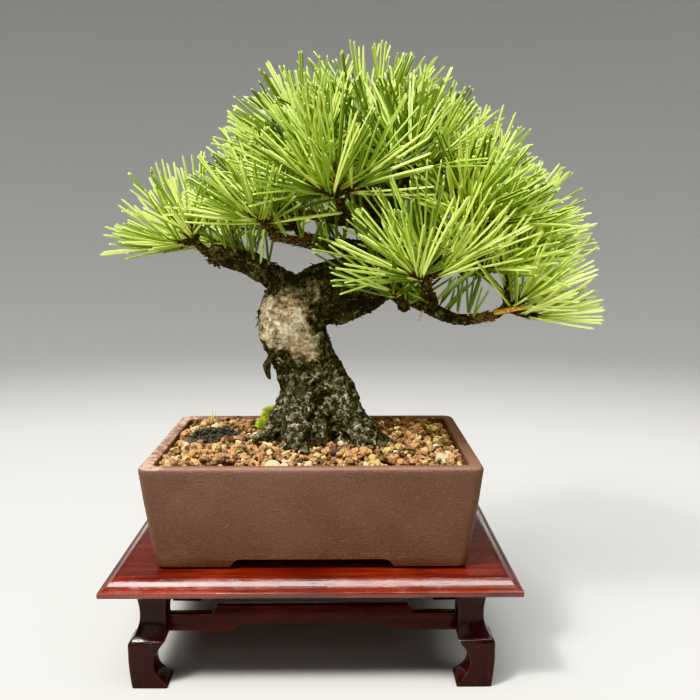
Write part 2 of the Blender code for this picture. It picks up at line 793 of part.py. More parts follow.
def space_centres():
    """The middle of each mass's own space, out along the way that it aims."""
    return {mass.name: mass_start(mass)[0] + Vector(mass.aim).normalized() * SPACE_REACH for mass in MASSES}


@dataclass
class Room:
    """The space that one mass may fill: nearer to its own middle than to another's, and off the limbs."""

    own: Vector
    others: list
    capsules: list
    taken: list

    def holds(self, point):
        """Whether a point is inside this mass's space, with room to spare."""
        for other in self.others:
            apart = (other - self.own).length
            depth = ((point - other).length_squared - (point - self.own).length_squared) / (2 * apart)
            if depth < SPACE_MARGIN:
                return False
        return True

    def clear(self, a, b, radius):
        """Whether a straight stretch of that radius keeps away from every limb."""
        return all(nearest_gap(a, b, c, d) > radius + r + LIMB_MARGIN for c, d, r in self.capsules)

    def allows(self, root, way, end):
        """Whether a needle may stand there, free of the limbs and of what stands there already."""
        free = root + way * NEEDLE_FREE
        return (
            self.holds(root)
            and self.holds(end)
            and self.clear(free, end, NEEDLE_HALF_WIDTH)
            and all(nearest_gap(free, end, a, b) > apart for a, b, apart in self.taken)
        )


def tilted(axis, tilt, turn):
    """A direction tilted away from an axis, and turned round it."""
    side = axis.orthogonal().normalized()
    side.rotate(Matrix.Rotation(turn, 3, axis))
    return (axis * math.cos(tilt) + side * math.sin(tilt)).normalized()


def shoots_of(mass, room, rng):
    """A mass's stem as a path, and its shoots as (tip, way it points) by a seeded rule."""
    start, limb_heading = mass_start(mass)
    aim = Vector(mass.aim).normalized()
    knee = start + limb_heading * STEM_STRAIGHT
    fork = knee + aim * STEM_BEND
    shoots = []
    for number in range(mass.shoots):
        tilt = math.radians(mass.fan) if number else 0.0
        turn = 2 * math.pi * number / max(1, mass.shoots - 1) + rng.uniform(-SHOOT_TURN, SHOOT_TURN)
        for attempt in range(SHOOT_TRIES):
            heading = tilted(aim, tilt * (1 - SHOOT_TRY_STRAIGHTER * attempt), turn)
            tip = fork + heading * mass.shoot_length * rng.uniform(*SHOOT_RANGE)
            if room.clear(fork + heading * SHOOT_FREE, tip, BUD_RADIUS) and room.holds(tip):
                shoots.append((tip, (heading + Vector((0, 0, SHOOT_LIFT))).normalized()))
                break
    return [start, knee, fork], shoots


def shoot_rings(twig, heading, tip, turn):
    """Rings along a twig and on over the spindle-shaped bud at its tip."""
    twig_radius = TWIG_RADIUS if len(twig) > 1 else SHOOT_RADIUS
    radii = [twig_radius] * len(twig) + [BUD_RADIUS * share for share in BUD_SWELL]
    path = twig + [tip - heading * BUD_STEP * step for step in range(len(BUD_BANDS), -1, -1)]
    rings = []
    frames = frames_along(path, tilted(heading, math.pi / 2, turn))
    for step, (centre, radius, (u, v)) in enumerate(zip(path, radii, frames)):
        offset = 0.5 * max(0, step - len(twig))
        turns = [2 * math.pi * (side + offset) / BUD_SIDES for side in range(BUD_SIDES)]
        rings.append([centre + (u * math.cos(t) + v * math.sin(t)) * radius for t in turns])
    return rings


def needle_from(face, band, heading, tip, needle_length, drawn, room, rng):
    """The needle that one facet of a bud may be drawn out into, as (root, way, end), or None."""
    root = face.calc_center_median()
    away = root - tip
    outward = (away - heading * away.dot(heading)).normalized()
    for attempt in range(NEEDLE_TRIES):
        tilt = BUD_BANDS[band] * (1 - NEEDLE_TRY_STRAIGHTER * attempt)
        tilt = math.radians(tilt + rng.uniform(-NEEDLE_TILT, NEEDLE_TILT))
        lean = heading.cross(outward) * rng.uniform(-NEEDLE_LEAN, NEEDLE_LEAN)
        way = heading * math.cos(tilt) + outward * math.sin(tilt) + lean
        way.z = max(way.z, NEEDLE_DROOP)
        way.normalize()
        length = needle_length * rng.uniform(*NEEDLE_RANGE) * (1 - NEEDLE_TRY_SHORTER * attempt)
        end = root + way * length
        stands_out = way.dot(face.normal) > NEEDLE_STANDS_OUT
        spreads = all((way - other).dot(root - start) > NEEDLE_SPREADS for start, other, _ in drawn)
        if stands_out and spreads and room.allows(root, way, end):
            return root, way, end
    return None


def build_shoot(twig, heading, tip, needle_length, room, rng):
    """A shoot whose bud has each facet drawn out into a needle where it may be.

    Gives its mesh and its needles. The needles of one bud spread apart, so that they never cross.
    """
    bm = loft(shoot_rings(twig, heading, tip, rng.uniform(0, math.pi)))
    bm.faces.ensure_lookup_table()
    bm.normal_update()
    drawn, chosen = [], []
    for band in reversed(range(len(BUD_BANDS))):
        for side in range(BUD_SIDES):
            face = bm.faces[(len(twig) + band) * BUD_SIDES + side]
            needle = needle_from(face, band, heading, tip, needle_length, drawn, room, rng)
            if needle:
                drawn.append(needle)
                chosen.append(face)
    for face, (_, _, end) in zip(chosen, drawn):
        bmesh.ops.poke(bm, faces=[face])["verts"][0].co = end
    return bm, drawn


def build_mass(mass, centres, capsules, look):
    """One mass: its stem, shoots, buds and needles, fused into one solid."""
    rng = random.Random(mass.seed)
    others = [centre for name, centre in centres.items() if name != mass.name]
    room = Room(centres[mass.name], others, capsules, [])
    stem, shoots = shoots_of(mass, room, rng)
    buds = [(stem[-1], tip, BUD_RADIUS + NEEDLE_APART) for tip, _ in shoots]
    needles = []
    pieces = []
    for number, (tip, heading) in enumerate(shoots):
        twig = stem if number == 0 else [stem[-1].lerp(stem[-2], SHOOT_STAGGER * number - SHOOT_ROOT)]
        room.taken = needles + buds[:number] + buds[number + 1 :]
        bm, drawn = build_shoot(twig, heading, tip, mass.needle_length, room, rng)
        pieces.append(finish(bm, f"{mass.name}_{number}", look))
        needles += [(root + way * NEEDLE_FREE, end, NEEDLE_APART) for root, way, end in drawn]
    fused = pieces[0]
    fused.name = mass.name
    if len(pieces) > 1:
        fuse(fused, pieces[1:])
    return fused


def fuse(obj, pieces):
    """Joins pieces to an object by one union, and removes them."""
    joined = bpy.data.collections.new(obj.name + "_pieces")
    bpy.context.scene.collection.children.link(joined)
    for piece in pieces:
        bpy.context.scene.collection.objects.unlink(piece)
        joined.objects.link(piece)
    union = obj.modifiers.new("fuse", "BOOLEAN")
    union.operation = "UNION"
    union.operand_type = "COLLECTION"
    union.collection = joined
    keep_largest(apply_modifiers(obj))
    for piece in pieces:
        bpy.data.objects.remove(piece)
    bpy.data.collections.remove(joined)


def centre_on_origin(objects):
    """Moves everything together, so that the origin is below the middle of the whole object."""
    bpy.context.view_layer.update()
    graph = bpy.context.evaluated_depsgraph_get()
    corners = []
    for obj in objects:
        shown = obj.evaluated_get(graph)
        corners += [shown.matrix_world @ vert.co for vert in shown.data.vertices]
    middle_x = (min(p.x for p in corners) + max(p.x for p in corners)) / 2
    middle_y = (min(p.y for p in corners) + max(p.y for p in corners)) / 2
    bonsai = bpy.data.objects.new("bonsai", None)
    bpy.context.scene.collection.objects.link(bonsai)
    for obj in bpy.data.objects:
        if obj is not bonsai:
            obj.parent = bonsai
    bonsai.location = (-middle_x, -middle_y, 0)


def main():
    """Builds the stand, the pot, the soil and the tree."""
    clear_scene()
    rosewood = material("rosewood", (0.24, 0.045, 0.025), 0.3)
    stoneware = material("stoneware", (0.20, 0.105, 0.075), 0.75)
    grit = material("grit", (0.42, 0.22, 0.10), 0.95)
    bark = material("bark", (0.11, 0.09, 0.07), 0.95)
    needle_green = material("needle_green", (0.27, 0.45, 0.07), 0.5)

    nodes = build_stand(rosewood)
    nodes.append(build_pot(stoneware))
    nodes.append(build_soil(grit))
    limbs = build_boughs(build_trunk(bark), bark)
    nodes += limbs.values()
    centres, capsules = space_centres(), limb_capsules()
    for mass in MASSES:
        nodes.append(build_mass(mass, centres, capsules, needle_green))
    centre_on_origin(nodes)


main()
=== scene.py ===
"""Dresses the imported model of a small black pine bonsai, its pot and its display stand.

The script works in millimetres round the middle of the pot's plan: X runs to the right, Y away from
the viewer and Z up from the surface that the stand rests on. Each finished piece is then moved into
the frame's own metres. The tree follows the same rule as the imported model: limbs along named points,
each mass of foliage on a stem that forks into shoots, and needles drawn from each shoot.
"""

import logging
import math
import random
from dataclasses import dataclass, field
from enum import Enum
from typing import Callable, Iterable, Sequence

import bmesh
import bpy
import numpy as np
from bmesh.types import BMEdge, BMesh, BMFace, BMVert
from bpy.types import Material, Mesh, NodeSocket, Object
from mathutils import Matrix, Vector, kdtree, noise


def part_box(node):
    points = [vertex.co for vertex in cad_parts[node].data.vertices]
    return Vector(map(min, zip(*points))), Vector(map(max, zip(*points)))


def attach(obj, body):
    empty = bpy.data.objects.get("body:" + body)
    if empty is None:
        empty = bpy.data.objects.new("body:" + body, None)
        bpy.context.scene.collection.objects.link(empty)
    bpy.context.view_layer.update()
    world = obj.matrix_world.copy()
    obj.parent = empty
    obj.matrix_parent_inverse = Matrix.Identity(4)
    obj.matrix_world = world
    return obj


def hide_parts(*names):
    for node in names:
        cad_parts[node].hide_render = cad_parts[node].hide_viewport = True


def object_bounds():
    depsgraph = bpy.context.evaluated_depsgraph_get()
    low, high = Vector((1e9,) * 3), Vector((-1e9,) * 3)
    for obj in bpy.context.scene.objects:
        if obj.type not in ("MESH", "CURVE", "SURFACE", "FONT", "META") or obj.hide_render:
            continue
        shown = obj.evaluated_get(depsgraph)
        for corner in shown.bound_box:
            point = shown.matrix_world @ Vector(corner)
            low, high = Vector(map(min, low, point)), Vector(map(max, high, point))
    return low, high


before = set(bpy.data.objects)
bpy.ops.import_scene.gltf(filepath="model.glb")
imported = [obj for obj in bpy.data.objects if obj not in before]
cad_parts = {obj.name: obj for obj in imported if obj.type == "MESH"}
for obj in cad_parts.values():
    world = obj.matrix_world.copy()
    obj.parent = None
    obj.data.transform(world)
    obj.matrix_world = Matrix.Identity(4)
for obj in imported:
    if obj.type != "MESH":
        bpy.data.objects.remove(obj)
CAD_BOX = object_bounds()

LOG = logging.getLogger("bonsai")
MM = 0.001
BODY = "root"
NOISE_SEED = 23
UP = Vector((0.0, 0.0, 1.0))
FULL_TURN = 6.283
THIRD_TURN = 2.0944
GOLDEN_TURN = 2.39996

POT_LOW, POT_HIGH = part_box("pot")
MIDDLE = Vector(((POT_LOW.x + POT_HIGH.x) / 2, (POT_LOW.y + POT_HIGH.y) / 2, 0.0))
RIM = POT_HIGH.z / MM
GROUND = RIM + 1.2

Pair = tuple[float, float]
Point = tuple[float, float, float]
Colour = Point
Run = tuple[Sequence[Vector], Sequence[float]]


def node_box(name: str) -> tuple[Vector, Vector]:
    """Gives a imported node's lowest and highest corners, in millimetres round the pot's middle."""
    low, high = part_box(name)
    return (low - MIDDLE) / MM, (high - MIDDLE) / MM


class Axis(Enum):
    """A direction along the object."""

    X = 0
    Y = 1
    Z = 2


class NodeSheet:
    """A material's node tree, with one method for each kind of node that the finishes use."""

    def __init__(self, name: str) -> None:
        """Starts a material.

        Args:
            name: The material's name.
        """
        self.material = bpy.data.materials.new(name)
        self.material.use_nodes = True
        self.tree = self.material.node_tree
        self.shader = self.tree.nodes["Principled BSDF"]

    def node(self, kind: str, inputs: dict, output: str | int, **settings: object) -> NodeSocket:
        """Adds a node.

        Args:
            kind: The node's type name.
            inputs: Numbers, colours or other nodes' outputs for its inputs, by name or number.
            output: The name or number of the output that is wanted.
            **settings: Values for its properties.

        Returns:
            The output.
        """
        made = self.tree.nodes.new(kind)
        for name, value in settings.items():
            setattr(made, name, value)
        for name, value in inputs.items():
            self.feed(made.inputs[name], value)
        return made.outputs[output]

    def feed(self, socket: NodeSocket, value: object) -> None:
        """Links or sets a socket.

        Args:
            socket: The input.
            value: Another node's output, a number or a tuple.
        """
        if isinstance(value, NodeSocket):
            self.tree.links.new(value, socket)
        elif isinstance(value, tuple) and socket.type == "RGBA":
            socket.default_value = (*value[:3], 1.0)
        else:
            socket.default_value = value

    def set(self, **values: object) -> None:
        """Feeds the Principled shader's inputs, named with underscores for their spaces."""
        for name, value in values.items():
            self.feed(self.shader.inputs[name.replace("_", " ")], value)

    def place(self, stretch: Point = (1, 1, 1)) -> NodeSocket:
        """Gives Object coordinates in millimetres.

        Args:
            stretch: How many times longer than wide the pattern is along each axis.

        Returns:
            A vector.
        """
        scale = [1 / (MM * share) for share in stretch]
        coordinates = self.node("ShaderNodeTexCoord", {}, "Object")
        return self.node("ShaderNodeMapping", {"Vector": coordinates, "Scale": scale}, "Vector")

    def attribute(self, name: str) -> NodeSocket:
        """Reads a number stored on the piece under a name."""
        return self.node("ShaderNodeAttribute", {}, "Fac", attribute_name=name)

    def noise(
        self, size: float, vector: NodeSocket, detail: float = 2.0, rough: float = 0.5, warp: float = 0.0
    ) -> NodeSocket:
        """Adds cloudy noise.

        Args:
            size: The width of its largest blots, in millimetres.
            vector: Where it is read.
            detail: How many finer layers it has.
            rough: How strong they are.
            warp: How far it is distorted.

        Returns:
            A number about 0.5.
        """
        inputs = {"Scale": 1 / size, "Detail": detail, "Roughness": rough, "Distortion": warp}
        return self.node("ShaderNodeTexNoise", {"Vector": vector, **inputs}, "Fac")

    def ramp(self, value: NodeSocket, *stops: tuple[float, Colour]) -> NodeSocket:
        """Turns a number into a colour.

        Args:
            value: The number.
            *stops: Places from 0 to 1 with their colours.

        Returns:
            The colour.
        """
        made = self.node("ShaderNodeValToRGB", {"Fac": value}, "Color")
        elements = made.node.color_ramp.elements
        while len(elements) < len(stops):
            elements.new(0.5)
        for element, (place, colour) in zip(elements, stops):
            element.position = place
            element.color = (*colour, 1.0)
        return made

    def between(self, value: NodeSocket, low: float, high: float) -> NodeSocket:
        """Stretches a number so that low becomes 0 and high becomes 1, clamped and eased."""
        inputs = {"Value": value, "From Min": low, "From Max": high}
        return self.node("ShaderNodeMapRange", inputs, "Result", interpolation_type="SMOOTHSTEP")

    def mix(self, share: object, first: object, second: object) -> NodeSocket:
        """Mixes two colours by the second one's share."""
        return self.node("ShaderNodeMix", {0: share, 6: first, 7: second}, 2, data_type="RGBA")

    def reckon(self, operation: str, first: object, second: object) -> NodeSocket:
        """Does one of the Math node's operations on two numbers."""
        return self.node("ShaderNodeMath", {0: first, 1: second}, "Value", operation=operation)

    def times(self, first: object, second: object) -> NodeSocket:
        """Multiplies two numbers."""
        return self.reckon("MULTIPLY", first, second)

    def plus(self, first: object, second: object) -> NodeSocket:
        """Adds two numbers."""
        return self.reckon("ADD", first, second)

    def part(self, vector: NodeSocket, axis: Axis) -> NodeSocket:
        """Takes one coordinate of a vector."""
        return self.node("ShaderNodeSeparateXYZ", {"Vector": vector}, axis.value)

    def bump(self, height: NodeSocket, depth: float, strength: float) -> None:
        """Raises the surface by a pattern, to a depth in millimetres and with a strength up to 1."""
        inputs = {"Height": height, "Distance": depth * MM, "Strength": strength}
        self.set(Normal=self.node("ShaderNodeBump", inputs, "Normal"))


@dataclass(frozen=True)
class Rosewood:
    """Polished dark red wood with streaks along the grain, pale worn edges, and a painted highlight as a pale
    line on the board's lip.
    """

    name: str
    grain: Axis
    dark: Colour = (0.024, 0.003, 0.002)
    middle: Colour = (0.064, 0.0065, 0.0045)
    bright: Colour = (0.140, 0.017, 0.0085)
    # The worn colour stands for real wear on bevelled edges, and for a painted highlight on the board's lip.
    worn: Colour = (0.24, 0.09, 0.065)
    polish: float = 0.35
    sheen: float = 0.62

    def make(self) -> Material:
        """Makes the material.

        Returns:
            The material.
        """
        sheet = NodeSheet(self.name)
        stretch = [1.0, 1.0, 1.0]
        stretch[self.grain.value] = 16.0
        along = sheet.place(tuple(stretch))
        plain = sheet.place()
        streaks = sheet.noise(2.6, along, 5.0, 0.62, 0.6)
        figure = sheet.noise(26.0, plain, 2.0, 0.5, 0.4)
        pores = sheet.between(sheet.noise(0.34, along, 1.0), 0.62, 0.74)
        tone = sheet.plus(sheet.times(streaks, 0.8), sheet.times(figure, 0.3))
        wood = sheet.ramp(tone, (0.36, self.dark), (0.50, self.middle), (0.68, self.bright))
        wood = sheet.mix(sheet.times(pores, 0.45), wood, self.dark)
        # Marked faces are broken up and turned pale: wear on the bevels, and a painted highlight along the
        # board's lip.
        broken_wear_and_highlight = sheet.between(sheet.noise(3.6, along, 3.0, 0.6), 0.30, 0.62)
        edges = sheet.times(sheet.attribute("edge_wear_and_lip_highlight"), broken_wear_and_highlight)
        wood = sheet.mix(sheet.times(edges, 0.40), wood, self.worn)
        sheet.set(Base_Color=wood, Specular_IOR_Level=self.sheen)
        sheet.set(Coat_Weight=self.polish, Coat_Roughness=0.24)
        rubbed = sheet.plus(streaks, sheet.times(sheet.noise(6.0, plain, 4.0, 0.65), 0.8))
        sheet.set(Roughness=sheet.between(rubbed, 0.62, 1.75))
        sheet.bump(sheet.plus(pores, sheet.times(streaks, 0.6)), -0.05, 0.5)
        return sheet.material


LEG_LOOK = {
    "dark": (0.010, 0.0024, 0.002), "middle": (0.014, 0.003, 0.0027), "bright": (0.022, 0.0042, 0.0036),
    "worn": (0.10, 0.04, 0.03), "polish": 0.20, "sheen": 0.25,
}
# The rails' colours are darker and duller than the board's: painted shade for their place under the board.
RAIL_LOOK_PAINTED_SHADE = {
    "middle": (0.020, 0.003, 0.002), "bright": (0.045, 0.006, 0.004), "worn": (0.10, 0.03, 0.02),
    "polish": 0.12, "sheen": 0.2,
}


@dataclass(frozen=True)
class Stoneware:
    """Unglazed reddish-brown clay, scraped fine, with a painted highlight as a pale line along the rim and a
    dusty inner edge.
    """

    name: str
    dusty: float = 52.0
    clay: Colour = (0.107, 0.053, 0.036)
    deep: Colour = (0.088, 0.043, 0.029)
    pale: Colour = (0.136, 0.072, 0.050)
    # The rim colour is a painted highlight, the pale line along the rim's rounded outer edge.
    rim: Colour = (0.28, 0.155, 0.105)
    dust: Colour = (0.55, 0.39, 0.29)

    def make(self) -> Material:
        """Makes the material.

        Returns:
            The material.
        """
        sheet = NodeSheet(self.name)
        plain = sheet.place()
        broad = sheet.noise(22.0, plain, 3.0, 0.55)
        pebbled = sheet.noise(0.80, plain, 3.0, 0.60)
        fine = sheet.noise(0.34, plain, 2.0, 0.6)
        clay = sheet.mix(sheet.between(broad, 0.36, 0.66), self.deep, self.clay)
        clay = sheet.mix(sheet.between(pebbled, 0.52, 0.72), clay, self.pale)
        clay = sheet.mix(sheet.between(pebbled, 0.48, 0.30), clay, self.deep)
        height = sheet.part(plain, Axis.Z)
        # Just under the rim's top the clay is mixed towards the rim colour: a painted highlight on the
        # rounded edge.
        line = sheet.between(height, RIM - 1.0, RIM - 0.3)
        clay = sheet.mix(sheet.times(line, 0.36), clay, self.rim)
        dusty = MIDDLE.x / MM - self.dusty
        left = sheet.between(sheet.part(plain, Axis.X), dusty, dusty - 4.0)
        top = sheet.times(sheet.between(height, RIM - 0.9, RIM - 0.2), left)
        patchy = sheet.between(sheet.noise(4.0, plain, 5.0, 0.72), 0.42, 0.60)
        clay = sheet.mix(sheet.times(top, sheet.times(patchy, 0.85)), clay, self.dust)
        sheet.set(Base_Color=clay, Roughness=0.52, Specular_IOR_Level=0.34)
        sheet.bump(sheet.plus(pebbled, sheet.times(fine, 0.5)), 0.55, 0.8)
        return sheet.material


@dataclass(frozen=True)
class Grit:
    """One shade of soil grain, dull and pitted."""

    name: str
    shade: Colour
    roughness: float = 0.62

    def make(self) -> Material:
        """Makes the material.

        Returns:
            The material.
        """
        sheet = NodeSheet(self.name)
        plain = sheet.place()
        pitted = sheet.noise(0.95, plain, 5.0, 0.8)
        dark = tuple(channel * 0.22 for channel in self.shade)
        bright = tuple(min(1.0, channel * 1.6) for channel in self.shade)
        earth = sheet.ramp(pitted, (0.38, dark), (0.49, self.shade), (0.62, bright))
        sheet.set(Base_Color=earth, Roughness=self.roughness, Specular_IOR_Level=0.4)
        sheet.bump(pitted, 0.70, 0.9)
        return sheet.material


@dataclass(frozen=True)
class Bark:
    """Flaking pine bark: dark cracks, brown flakes, pale worn faces and a black mossy foot."""

    name: str
    crack: Colour = (0.008, 0.007, 0.004)
    umber: Colour = (0.022, 0.018, 0.010)
    brown: Colour = (0.082, 0.075, 0.043)
    grey: Colour = (0.235, 0.225, 0.140)
    light: Colour = (0.42, 0.39, 0.28)
    shadow: Colour = (0.050, 0.040, 0.020)
    dun: Colour = (0.115, 0.092, 0.048)
    tan: Colour = (0.27, 0.195, 0.110)
    olive: Colour = (0.225, 0.195, 0.120)
    pale: Colour = (0.42, 0.365, 0.245)
    cream: Colour = (0.62, 0.56, 0.40)
    foot: Colour = (0.040, 0.036, 0.021)
    ash: Colour = (0.120, 0.105, 0.062)
    moss: Colour = (0.075, 0.090, 0.022)
    lichen: Colour = (0.40, 0.375, 0.28)
    chips: bool = False

    def make(self) -> Material:
        """Makes the material.

        Returns:
            The material.
        """
        sheet = NodeSheet(self.name)
        plain = sheet.place()
        mottle = sheet.noise(1.5, plain, 6.0, 0.78)
        fine = sheet.noise(0.42, plain, 4.0, 0.75)
        shade = sheet.plus(sheet.times(mottle, 0.6), sheet.times(fine, 0.4))
        if self.chips:
            stops = ((0.40, self.crack), (0.50, self.umber), (0.60, self.brown), (0.72, self.grey))
            wood = sheet.ramp(shade, *stops)
            sheet.set(Base_Color=wood, Roughness=0.9, Specular_IOR_Level=0.2)
            sheet.bump(fine, 0.2, 0.8)
            return sheet.material
        tone = sheet.times(sheet.reckon("SUBTRACT", sheet.attribute("tone"), 0.5), 0.16)
        shade = sheet.plus(shade, tone)
        stops = ((0.40, self.crack), (0.48, self.umber), (0.55, self.brown), (0.63, self.grey))
        wood = sheet.ramp(shade, *stops, (0.74, self.light))
        rings = sheet.noise(4.2, sheet.place((1.0, 1.0, 0.6)), 5.0, 0.62)
        smooth = sheet.plus(sheet.times(shade, 0.55), sheet.times(rings, 0.45))
        tinted = sheet.mix(sheet.between(sheet.noise(7.0, plain, 3.0, 0.6), 0.46, 0.58), self.olive, self.tan)
        pale = sheet.ramp(smooth, (0.40, self.shadow), (0.445, self.dun), (0.485, self.olive))
        pale = sheet.mix(sheet.between(smooth, 0.455, 0.49), pale, tinted)
        pale = sheet.mix(sheet.between(smooth, 0.51, 0.55), pale, self.pale)
        pale = sheet.mix(sheet.between(smooth, 0.56, 0.62), pale, self.cream)
        flecks = sheet.between(sheet.noise(0.9, sheet.place((1.6, 1.6, 1.0)), 4.0, 0.7), 0.43, 0.36)
        pale = sheet.mix(sheet.times(flecks, 0.8), pale, self.shadow)
        wood = sheet.mix(sheet.attribute("worn"), wood, pale)
        speckle = sheet.noise(2.2, plain, 7.0, 0.80)
        stops = ((0.42, self.crack), (0.48, self.foot), (0.54, self.ash), (0.63, self.lichen))
        dark = sheet.ramp(speckle, *stops)
        green = sheet.between(sheet.noise(4.0, plain, 3.0, 0.65), 0.56, 0.66)
        dark = sheet.mix(sheet.times(green, 0.30), dark, self.moss)
        wood = sheet.mix(sheet.attribute("foot"), wood, dark)
        # The crack value darkens the cracks, and in the hollows it paints shade.
        wood = sheet.mix(sheet.between(sheet.attribute("crack"), 0.30, 0.95), wood, self.crack)
        sheet.set(Base_Color=wood, Roughness=0.85, Specular_IOR_Level=0.3)
        depth = sheet.reckon("SUBTRACT", 1.0, sheet.times(sheet.attribute("worn"), 0.65))
        bumps = sheet.plus(mottle, sheet.times(fine, 0.8))
        sheet.bump(sheet.times(bumps, depth), 0.55, 0.9)
        return sheet.material


@dataclass(frozen=True)
class Leafy:
    """One plain shade of a needle, sheath, bud scale or moss blade."""

    name: str
    shade: Colour
    roughness: float = 0.42
    glow: float = 0.0

    def make(self) -> Material:
        """Makes the material.

        Returns:
            The material.
        """
        sheet = NodeSheet(self.name)
        sheet.set(Base_Color=self.shade, Roughness=self.roughness, Specular_IOR_Level=0.45)
        if self.glow:
            sheet.set(Subsurface_Weight=self.glow, Subsurface_Scale=0.6 * MM)
            sheet.shader.inputs["Subsurface Radius"].default_value = (0.7, 1.0, 0.15)
        return sheet.material


@dataclass
class Finishes:
    """The finishes that the classes share, made once."""

    board_along: Material = field(default_factory=Rosewood("rosewood_board", Axis.X).make)
    board_across: Material = field(default_factory=Rosewood("rosewood_ends", Axis.Y).make)
    leg: Material = field(default_factory=Rosewood("rosewood_leg", Axis.Z, **LEG_LOOK).make)
    rail_along: Material = field(default_factory=Rosewood("rosewood_rail_painted_shade", Axis.X, **RAIL_LOOK_PAINTED_SHADE).make)
    rail_across: Material = field(default_factory=Rosewood("rosewood_side_rail_painted_shade", Axis.Y, **RAIL_LOOK_PAINTED_SHADE).make)
    clay: Material = field(default_factory=Stoneware("unglazed_clay").make)
    bark: Material = field(default_factory=Bark("pine_bark").make)
    chips: Material = field(default_factory=Bark("loose_bark", chips=True).make)
    # The bed's near-black colour paints the shade in the gaps between the grains.
    bed: Material = field(default_factory=Grit("soil_bed_gap_shade", (0.050, 0.026, 0.014)).make)


def make_piece(
    bm: BMesh,
    name: str,
    materials: Sequence[Material],
    stands_for: Iterable[str] = (),
    smooth_angle: float | None = None,
) -> Object:
    """Makes a finished piece of a mesh in millimetres, and lets it ride on the object.

    Args:
        bm: The mesh, which is used up.
        name: The piece's name.
        materials: Its materials, in the order of its faces' indices.
        stands_for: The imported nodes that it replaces.
        smooth_angle: The sharpest angle in degrees that is still shaded smooth, or None for flat faces.

    Returns:
        The piece.
    """
    mesh = bpy.data.meshes.new(name)
    bmesh.ops.scale(bm, vec=(MM, MM, MM), verts=bm.verts)
    bmesh.ops.translate(bm, vec=MIDDLE, verts=bm.verts)
    bm.to_mesh(mesh)
    bm.free()
    if smooth_angle is not None:
        mesh.shade_smooth()
        mesh.set_sharp_from_angle(angle=math.radians(smooth_angle))
    return place_piece(mesh, materials, stands_for)


def place_piece(
    mesh: Mesh, materials: Sequence[Material], stands_for: Iterable[str] = ()
) -> Object:
    """Puts a finished mesh into the scene as a piece of the object.

    Args:
        mesh: The mesh, in the frame's metres, under the piece's name.
        materials: Its materials.
        stands_for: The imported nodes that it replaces.

    Returns:
        The piece.
    """
    for material in materials:
        mesh.materials.append(material)
    piece = bpy.data.objects.new(mesh.name, mesh)
    bpy.context.scene.collection.objects.link(piece)
    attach(piece, BODY)
    nodes = list(stands_for)
    if nodes:
        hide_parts(*nodes)
    LOG.info("%s: %d faces", mesh.name, len(mesh.polygons))
    return piece


def extrude_face(bm: BMesh, face: BMFace) -> BMFace:
    """Extrudes a face in place, with no face left inside, and gives the new end face."""
    made = bmesh.ops.extrude_face_region(bm, geom=[face, *face.edges, *face.verts])["geom"]
    return next(item for item in made if isinstance(item, BMFace))


def curve_through(points: Sequence[Sequence[float]], steps: int) -> list[Vector]:
    """Gives points along a smooth curve through the given ones.

    Args:
        points: The points.
        steps: How many points there are to each stretch.

    Returns:
        The curve's points, the last given one included.
    """
    knots = [Vector(point) for point in points]
    knots = [2 * knots[0] - knots[1], *knots, 2 * knots[-1] - knots[-2]]
    path = []
    for a, b, c, d in zip(knots, knots[1:], knots[2:], knots[3:]):
        for step in range(steps):
            t = step / steps
            bend = (2 * a - 5 * b + 4 * c - d) * t**2 + (3 * b - a - 3 * c + d) * t**3
            path.append(0.5 * (2 * b + (c - a) * t + bend))
    path.append(knots[-2])
    return path


def values_through(values: Sequence[float], steps: int) -> list[float]:
    """Eases between single values as curve_through does between points."""
    return [point.x for point in curve_through([(value, 0.0, 0.0) for value in values], steps)]


def mark_edges(bm: BMesh, faces: Iterable[BMFace]) -> None:
    """Marks faces for the finish's pale edge colour: the narrow faces along a piece's edges, which wear
    first, and on the board the band where a highlight is painted.

    Args:
        bm: The mesh.
        faces: The faces.
    """
    layer = bm.loops.layers.float.get("edge_wear_and_lip_highlight") or bm.loops.layers.float.new("edge_wear_and_lip_highlight")
    for face in faces:
        for loop in face.loops:
            loop[layer] = 1.0


def bevel_edges(
    bm: BMesh, edges: Iterable[BMEdge], width: float, segments: int = 2
) -> None:
    """Rounds edges and marks them as worn.

    Args:
        bm: The mesh.
        edges: The edges.
        width: The bevel's width, in millimetres.
        segments: How many faces it has across.
    """
    shape = {"offset_type": "OFFSET", "affect": "EDGES", "segments": segments, "profile": 0.5}
    made = bmesh.ops.bevel(bm, geom=list(edges), offset=width, material=-1, clamp_overlap=True, **shape)
    mark_edges(bm, made["faces"])


def sharp_edges(bm: BMesh, angle: float) -> list[BMEdge]:
    """Finds the edges where a mesh bends by more than an angle in degrees."""
    least = math.radians(angle)
    return [edge for edge in bm.edges if edge.is_manifold and edge.calc_face_angle() > least]


def tube_quads(rows: int, sides: int) -> np.ndarray:
    """Gives the faces of a tube whose vertices are numbered ring by ring.

    Args:
        rows: How many rings it has.
        sides: How many vertices there are to a ring.

    Returns:
        Four vertex numbers for each face.
    """
    row = np.arange(rows - 1)[:, None] * sides
    side = np.arange(sides)[None, :]
    after = (side + 1) % sides
    return np.stack([row + side, row + after, row + sides + after, row + sides + side], -1).reshape(-1, 4)


